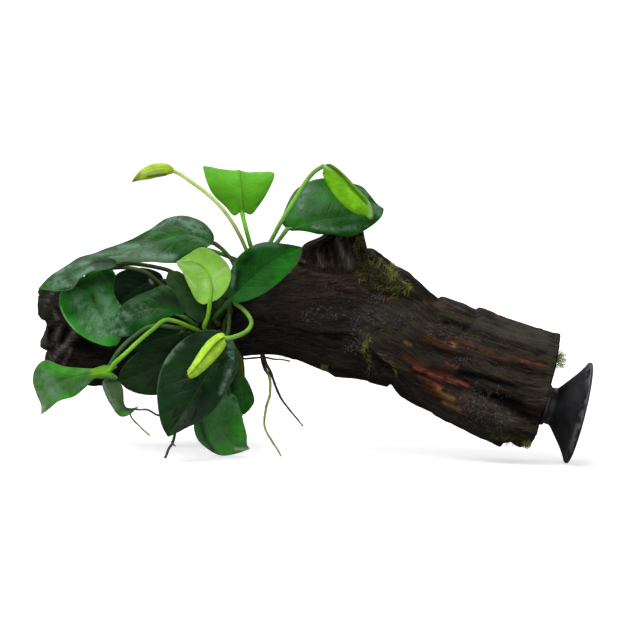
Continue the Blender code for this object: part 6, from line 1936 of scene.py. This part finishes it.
def leaf_pattern(m):
    """What a leaf's colours and relief are made of: its grid, its veins, and noise from coarse to fine."""
    s, t, half = m.parts(m.vector("blade"))
    side = m.math("ABSOLUTE", s)
    row = m.math("SUBTRACT", t, m.by(m.math("POWER", side, VEIN_BEND), VEIN_LEAN))
    turn = m.by(m.plus(m.by(row, VEINS), m.by(m.math("SIGN", s), VEIN_SHIFT)), 2 * math.pi)
    vein = m.math("POWER", m.by(m.plus(m.math("COSINE", turn), 1.0), 0.5), 16.0)
    blotch, cloud = m.noise(m.place, 120.0, 3.0, 0.6), m.noise(m.place, 420.0, 4.0, 0.65)
    return SimpleNamespace(
        side=side, along=t, tint=m.vector("tint"), blotch=blotch, cloud=cloud,
        vein=m.by(vein, m.span(side, 0.9, 0.3)),
        midrib=m.span(m.by(side, half), 0.5, 0.1),
        fine=m.noise(m.together(m.by(row, 64.0), m.by(s, 2.5), half), 1.0, 2.0),
        speck=m.noise(m.place, 1100.0, 2.0, 0.5),
        mottle=m.plus(m.by(blotch, 0.4), m.by(cloud, 0.6)),
    )


def leaf_sheen(m, leaf):
    """Share of painted pale sheen: between the veins on leaves that have it all over, and along the marks."""
    middle = m.by(m.span(leaf.side, 0.06, 0.25), m.span(leaf.side, 0.9, 0.62),
                  m.span(leaf.along, 0.1, 0.3), m.span(leaf.along, 0.97, 0.8))
    patch = m.by(middle, m.span(leaf.mottle, 0.44, 0.62), m.number("bloom"))
    marked = m.by(m.number("sheen"), m.span(leaf.mottle, 0.42, 0.56, 0.15, 1.0))
    return m.math("MAXIMUM", m.by(patch, 0.8), m.by(marked, 0.95))


def leaf_face(m, leaf, veins):
    """Colour of the upper side, with painted light, shade and sheen along its marks."""
    face = m.times(leaf.tint, m.span(leaf.blotch, 0.3, 0.7, 0.78, 1.25))
    face = m.times(face, m.span(leaf.fine, 0.3, 0.7, 0.92, 1.08))
    face = m.times(face, m.span(leaf.cloud, 0.3, 0.7, 0.85, 1.15))
    pale = m.mix(0.35, m.times(leaf.tint, 1.7), (0.10, 0.26, 0.05))
    face = m.mix(m.by(leaf.vein, veins), face, pale)
    face = m.mix(m.by(leaf.midrib, veins * 1.5), face, pale)
    # Painted light and shade: lit marks brighten the face, shade marks darken it, sheen paints a pale
    # reflection
    face = m.mix(m.number("lit"), face, m.scaled(face, 0.75, 1.45, 0.5))
    face = m.mix(m.by(m.number("shade"), 0.9), face, m.times(face, 0.22))
    face = m.mix(leaf_sheen(m, leaf), face, m.mix(0.78, m.times(leaf.tint, 1.6), (0.145, 0.250, 0.175)))
    margin = m.span(leaf.side, 0.955, 0.985)
    return m.mix(m.by(margin, 0.3), face, m.mix(0.5, pale, (0.18, 0.28, 0.10)))


def leaf_below(m, leaf, under):
    """Colour of the underside, which is duller."""
    below = m.times(m.mix(0.5, m.times(leaf.tint, 1.25), under), m.span(leaf.blotch, 0.3, 0.7, 0.85, 1.15))
    bright = tuple(min(1.0, 1.35 * value) for value in under)
    return m.mix(m.by(m.math("MAXIMUM", leaf.vein, leaf.midrib), 0.3), below, bright)


def leaf_stem(m, leaf):
    """Colour of the petiole, browner towards the rhizome."""
    stem = m.times(m.vector("stem"), m.span(leaf.blotch, 0.3, 0.7, 0.75, 1.25))
    lower = m.mix(0.7, m.times(stem, 0.55), (0.045, 0.055, 0.014))
    return m.mix(m.span(leaf.along, -0.35, -1.0), stem, lower)


def leaf_finish(name, gloss, shine, glow, veins, under):
    """A leaf: side veins, midrib, a thin pale margin, painted pale sheen between the veins, painted light and
    shade along its marks, a duller underside.
    """
    m = Shader(name)
    leaf = leaf_pattern(m)
    colour = m.mix(m.number("upper"), leaf_below(m, leaf, under), leaf_face(m, leaf, veins))
    # painted shade in the young leaves' hollows
    colour = m.mix(m.by(m.number("hollow"), 0.6), colour, m.scaled(leaf.tint, 0.55, 0.50, 0.3))
    for kind, mark, most in MARK_COLOURS:
        colour = m.mix(m.by(m.number(kind), most), colour, mark)
    colour = m.mix(m.number("stalk"), colour, leaf_stem(m, leaf))
    height = m.plus(m.plus(m.by(leaf.fine, 0.5), m.by(leaf.speck, 0.25)), leaf.cloud)
    height = m.math("SUBTRACT", height, m.by(m.math("MAXIMUM", leaf.vein, leaf.midrib), 0.35))
    m.set(Base_Color=colour, Roughness=m.span(leaf.mottle, 0.38, 0.62, gloss, gloss + 0.25),
          Specular_IOR_Level=shine, Subsurface_Weight=glow, Subsurface_Radius=(0.5, 1.0, 0.25),
          Subsurface_Scale=0.0012, Normal=m.bump(height, 0.00022, 0.7))
    return m.material


def wood_pattern(m):
    """Noise that is long in the fibres' direction, and noise of patches, pits and dots."""
    fibre = m.vector("fibre")
    return SimpleNamespace(
        long=m.noise(fibre, 0.35, 4.0, 0.6, 0.4),
        fine=m.noise(m.scaled(fibre, 1.6, 1.0, 1.0), 1.5, 4.0, 0.65),
        thread=m.noise(m.scaled(fibre, 0.8, 1.0, 1.0), 3.2, 2.0, 0.6),
        patch=m.noise(m.place, 60.0, 3.0, 0.6),
        pits=m.noise(m.place, 700.0, 3.0, 0.6),
        dots=m.noise(m.place, 1300.0, 1.0, 0.4),
    )


def bark_colour(m, wood):
    """Almost black wood with olive and brown flanks, pale threads, painted shade in its cracks and paler
    ridges.
    """
    relief = m.number("relief")
    colour = m.mix(m.span(wood.long, 0.38, 0.62), (0.0090, 0.0065, 0.0050), (0.026, 0.0160, 0.0100))
    olive = m.mix(m.span(wood.long, 0.38, 0.58), (0.014, 0.0095, 0.0060), (0.046, 0.034, 0.020))
    brown = m.mix(m.span(wood.fine, 0.35, 0.6), (0.018, 0.0080, 0.0045), (0.046, 0.0210, 0.0120))
    for share, tone in (
        (m.number("olive"), olive), (m.number("brown"), brown),
        (m.by(m.span(wood.thread, 0.52, 0.68), 0.75), (0.056, 0.043, 0.033)),
        (m.by(m.span(wood.fine, 0.5, 0.38), 0.85), (0.0030, 0.0023, 0.0020)),
        (m.by(m.span(wood.patch, 0.48, 0.7), 0.4), (0.0065, 0.0055, 0.0052)),
        # painted shade: darker where the relief sinks into cracks and grooves
        (m.span(relief, -0.15, -1.1, 0.0, 0.85), (0.003, 0.0022, 0.0018)),
        (m.span(relief, 0.35, 1.2, 0.0, 0.3), (0.045, 0.034, 0.026)),
    ):
        colour = m.mix(share, colour, tone)
    return colour


def stains_and_painted_light(m, wood, colour):
    """The wood's colour with its torn and sawn ends, its stains, painted shade and highlight, flecks and grey
    threads.
    """
    torn = m.by(m.number("ends"), m.span(wood.patch, 0.42, 0.62), 0.7)
    sawn = m.mix(m.span(wood.fine, 0.4, 0.65), (0.05, 0.036, 0.026), (0.10, 0.078, 0.055))
    grey = m.span(wood.fine, 0.4, 0.6)
    broken = m.span(m.plus(m.by(wood.thread, 0.6), m.by(wood.pits, 0.4)), 0.38, 0.52)
    flecks = m.by(m.span(wood.dots, 0.66, 0.74), m.plus(m.number("fleck"), 0.1))
    layers = [
        (torn, (0.075, 0.058, 0.040)),
        (m.by(m.number("cut"), 0.8), sawn),
        # painted shade along grooves, cracks and crevices
        (m.by(m.number("black"), 0.9), (0.0022, 0.0016, 0.0013)),
        (m.number("violet"), m.mix(grey, (0.030, 0.022, 0.020), (0.110, 0.084, 0.076))),
        # partly painted highlight: lighter grey along ridges
        (m.number("ash"), m.mix(grey, (0.060, 0.046, 0.044), (0.210, 0.165, 0.155))),
    ]
    layers += [(m.by(m.number(kind), most, broken), stain) for kind, stain, most in STAIN_COLOURS]
    layers += [(flecks, (0.190, 0.180, 0.165)), (m.number("hair"), (0.150, 0.150, 0.135))]
    for share, tone in layers:
        colour = m.mix(share, colour, tone)
    return colour


def wood_finish(name):
    """Soaked driftwood: almost black, with brown flanks, rusty and grey stains, fibres and pale specks,
    and painted shade in its grooves and painted highlight on its ridges.
    """
    m = Shader(name)
    wood = wood_pattern(m)
    height = m.plus(wood.fine, m.by(wood.pits, 0.5))
    height = m.plus(height, m.by(m.plus(wood.long, wood.thread), 0.7))
    colour = stains_and_painted_light(m, wood, bark_colour(m, wood))
    m.set(Base_Color=colour, Roughness=m.span(wood.pits, 0.3, 0.7, 0.42, 0.75), Specular_IOR_Level=0.14,
          Normal=m.bump(height, 0.0011, 0.9))
    return m.material


def rhizome_finish():
    m = Shader("rhizome_skin_fine")
    rings = m.noise(m.place, 500.0, 3.0, 0.6)
    blotch = m.noise(m.place, 160.0, 2.0)
    colour = m.mix(m.span(blotch, 0.35, 0.65), (0.010, 0.026, 0.003), (0.024, 0.052, 0.006))
    colour = m.mix(m.span(rings, 0.5, 0.7, 0.0, 0.7), colour, (0.018, 0.012, 0.004))
    m.set(Base_Color=colour, Roughness=m.span(rings, 0.3, 0.7, 0.5, 0.7), Specular_IOR_Level=0.12,
          Normal=m.bump(rings, 0.0004, 0.7))
    return m.material


def root_finish(name, colour, end, tip, turn=(0.35, 0.8)):
    """A root: its colour from the rhizome on, its colour near its end, and its growing tip."""
    m = Shader(name)
    along = m.number("along")
    blotch = m.noise(m.place, 500.0, 3.0)
    skin = m.mix(m.span(along, *turn), colour, end)
    skin = m.mix(m.span(along, 0.9, 0.98), skin, tip)
    skin = m.times(skin, m.span(blotch, 0.3, 0.7, 0.6, 1.4))
    m.set(Base_Color=skin, Roughness=0.55, Subsurface_Weight=0.05, Subsurface_Scale=0.0006,
          Normal=m.bump(blotch, 0.0002, 0.6))
    return m.material


def moss_finish():
    m = Shader("moss_strands_fine")
    shade = m.number("shade")
    colour = m.mix(m.span(shade, 0.0, 1.0), (0.022, 0.030, 0.006), (0.360, 0.400, 0.050))
    colour = m.mix(m.span(m.noise(m.place, 260.0), 0.45, 0.65, 0.0, 0.5), colour, (0.050, 0.040, 0.014))
    m.set(Base_Color=colour, Roughness=0.6, Subsurface_Weight=0.1, Subsurface_Scale=0.0004)
    return m.material


def rubber_finish():
    """Black rubber, slightly dusty, with wear and painted highlight along its edges."""
    m = Shader("cup_rubber_fine")
    cloud = m.noise(m.place, 120.0, 4.0, 0.6)
    speck = m.noise(m.place, 1500.0, 2.0, 0.5)
    streak = m.noise(m.place, 260.0, 3.0, 0.6)
    colour = m.mix(m.span(cloud, 0.35, 0.7), (0.013, 0.013, 0.015), (0.030, 0.030, 0.033))
    # wear and painted highlight: lighter grey streaks along the washer's edges and the lip
    worn = m.by(m.number("worn"), m.span(streak, 0.42, 0.58))
    colour = m.mix(m.by(worn, 0.8), colour, (0.130, 0.130, 0.140))
    m.set(Base_Color=colour, Roughness=m.span(cloud, 0.3, 0.7, 0.38, 0.52), Specular_IOR_Level=0.45,
          Normal=m.bump(speck, 0.00006, 0.5))
    return m.material


# Camera, light and floor

def add_object(name, data):
    thing = bpy.data.objects.new(name, data)
    bpy.context.scene.collection.objects.link(thing)
    return thing


def add_camera():
    """The camera at the photograph's viewing position."""
    data = bpy.data.cameras.new("photograph_view")
    data.sensor_fit = "HORIZONTAL"
    data.sensor_width = SENSOR_WIDTH
    data.lens = SENSOR_WIDTH * FOCAL_PIXELS / FRAME_WIDTH
    data.clip_start, data.clip_end = 0.01, 20.0
    camera = add_object("photograph_view", data)
    right = RIGHTWARD * math.cos(VIEW_ROLL) + UPWARD * math.sin(VIEW_ROLL)
    up = UPWARD * math.cos(VIEW_ROLL) - RIGHTWARD * math.sin(VIEW_ROLL)
    turned = Matrix((right.tolist(), up.tolist(), (-FORWARD).tolist())).transposed()
    camera.matrix_world = Matrix.Translation(Vector(EYE.tolist())) @ turned.to_4x4()
    bpy.context.scene.camera = camera


def add_area_light(name, place, towards, size, power):
    data = bpy.data.lights.new(name, "AREA")
    data.shape = "RECTANGLE"
    data.size, data.size_y = size
    data.energy = power
    light = add_object(name, data)
    light.location = place
    light.rotation_euler = (Vector(towards) - Vector(place)).to_track_quat("-Z", "Y").to_euler()


def by_ray(m, plain, seen, shine):
    """A number for light that falls softly, and others for what the eye and what a gloss sees."""
    path = m.outputs("ShaderNodeLightPath")
    rest = m.plus(plain, m.by(path["Is Camera Ray"], seen - plain))
    return m.plus(rest, m.by(path["Is Glossy Ray"], shine - plain))


def add_world(felt, seen, shine):
    """A plain white surround."""
    world = bpy.data.worlds.new("studio")
    world.use_nodes = True
    bpy.context.scene.world = world
    m = Nodes(world.node_tree)
    background = next(node for node in m.nodes if node.type == "BACKGROUND")
    m.feed(background.inputs["Strength"], by_ray(m, felt, seen, shine))
    background.inputs["Color"].default_value = (1.0, 1.0, 1.0, 1.0)


def floor_finish():
    """Matt white that is whiter to the eye than as a reflector."""
    m = Shader("studio_white")
    cloud = m.noise(m.place, 3.0, 2.0)
    white = m.by(by_ray(m, 0.38, 0.81, 0.15), m.span(cloud, 0.3, 0.7, 0.99, 1.01))
    m.set(Base_Color=white, Roughness=0.9, Specular_IOR_Level=0.05)
    far = m.span(m.parts(m.place)[1], 0.1, 1.2, 0.62, 1.0)
    m.set(Emission_Color=(1.0, 1.0, 1.0), Emission_Strength=m.by(by_ray(m, 0.0, 1.0, 0.0), far))
    return m.material


def add_floor(level, reach=2.2, bend=0.8, top=2.6):
    """A white floor that turns up into a white wall far behind."""
    turn = np.linspace(0.1, math.pi / 2, 14)
    way = [(-3.0, level), (reach, level)]
    way += [(reach + bend * math.sin(a), level + bend * (1 - math.cos(a))) for a in turn]
    way += [(reach + bend, top)]
    mesh = bpy.data.meshes.new("studio_floor")
    mesh.from_pydata([(x, y, z) for y, z in way for x in (-4.0, 4.0)], [], grid_quads(len(way), 2).tolist())
    mesh.materials.append(floor_finish())
    mesh.polygons.foreach_set("use_smooth", [True] * len(mesh.polygons))
    add_object("studio_floor", mesh)


# The whole part

def make_leaves():
    finishes = {name: leaf_finish(name + "_fine", **looks) for name, looks in LEAF_LOOKS.items()}
    for number, (name, blade) in enumerate(BLADES.items()):
        make_leaf(name, LEAVES[name], blade, finishes[LEAVES[name]["material"]], number)
    for name, young in YOUNG.items():
        make_young_leaf(name, LEAVES[name], young, finishes[LEAVES[name]["material"]])


make_leaves()
make_trunk(wood_finish("driftwood_bark_fine"))
make_stub(wood_finish("driftwood_stub_bark_fine"))
make_rhizome(rhizome_finish())
for number, (name, root) in enumerate(ROOTS.items()):
    make_root(name, root, root_finish(*ROOT_LOOKS[name]), number)
moss_skin = moss_finish()
for number, (name, moss) in enumerate(MOSS.items()):
    make_moss(name, moss, moss_skin, np.random.default_rng(MOSS_SEED + number))
make_cup(rubber_finish())

add_camera()
add_world(0.30, 1.0, 0.10)
for name, settings in LIGHTS.items():
    add_area_light(name, *settings)
add_floor(min(cad_low[2], 0.0) - 0.03 * MM)
bpy.context.scene.view_settings.view_transform = "Standard"
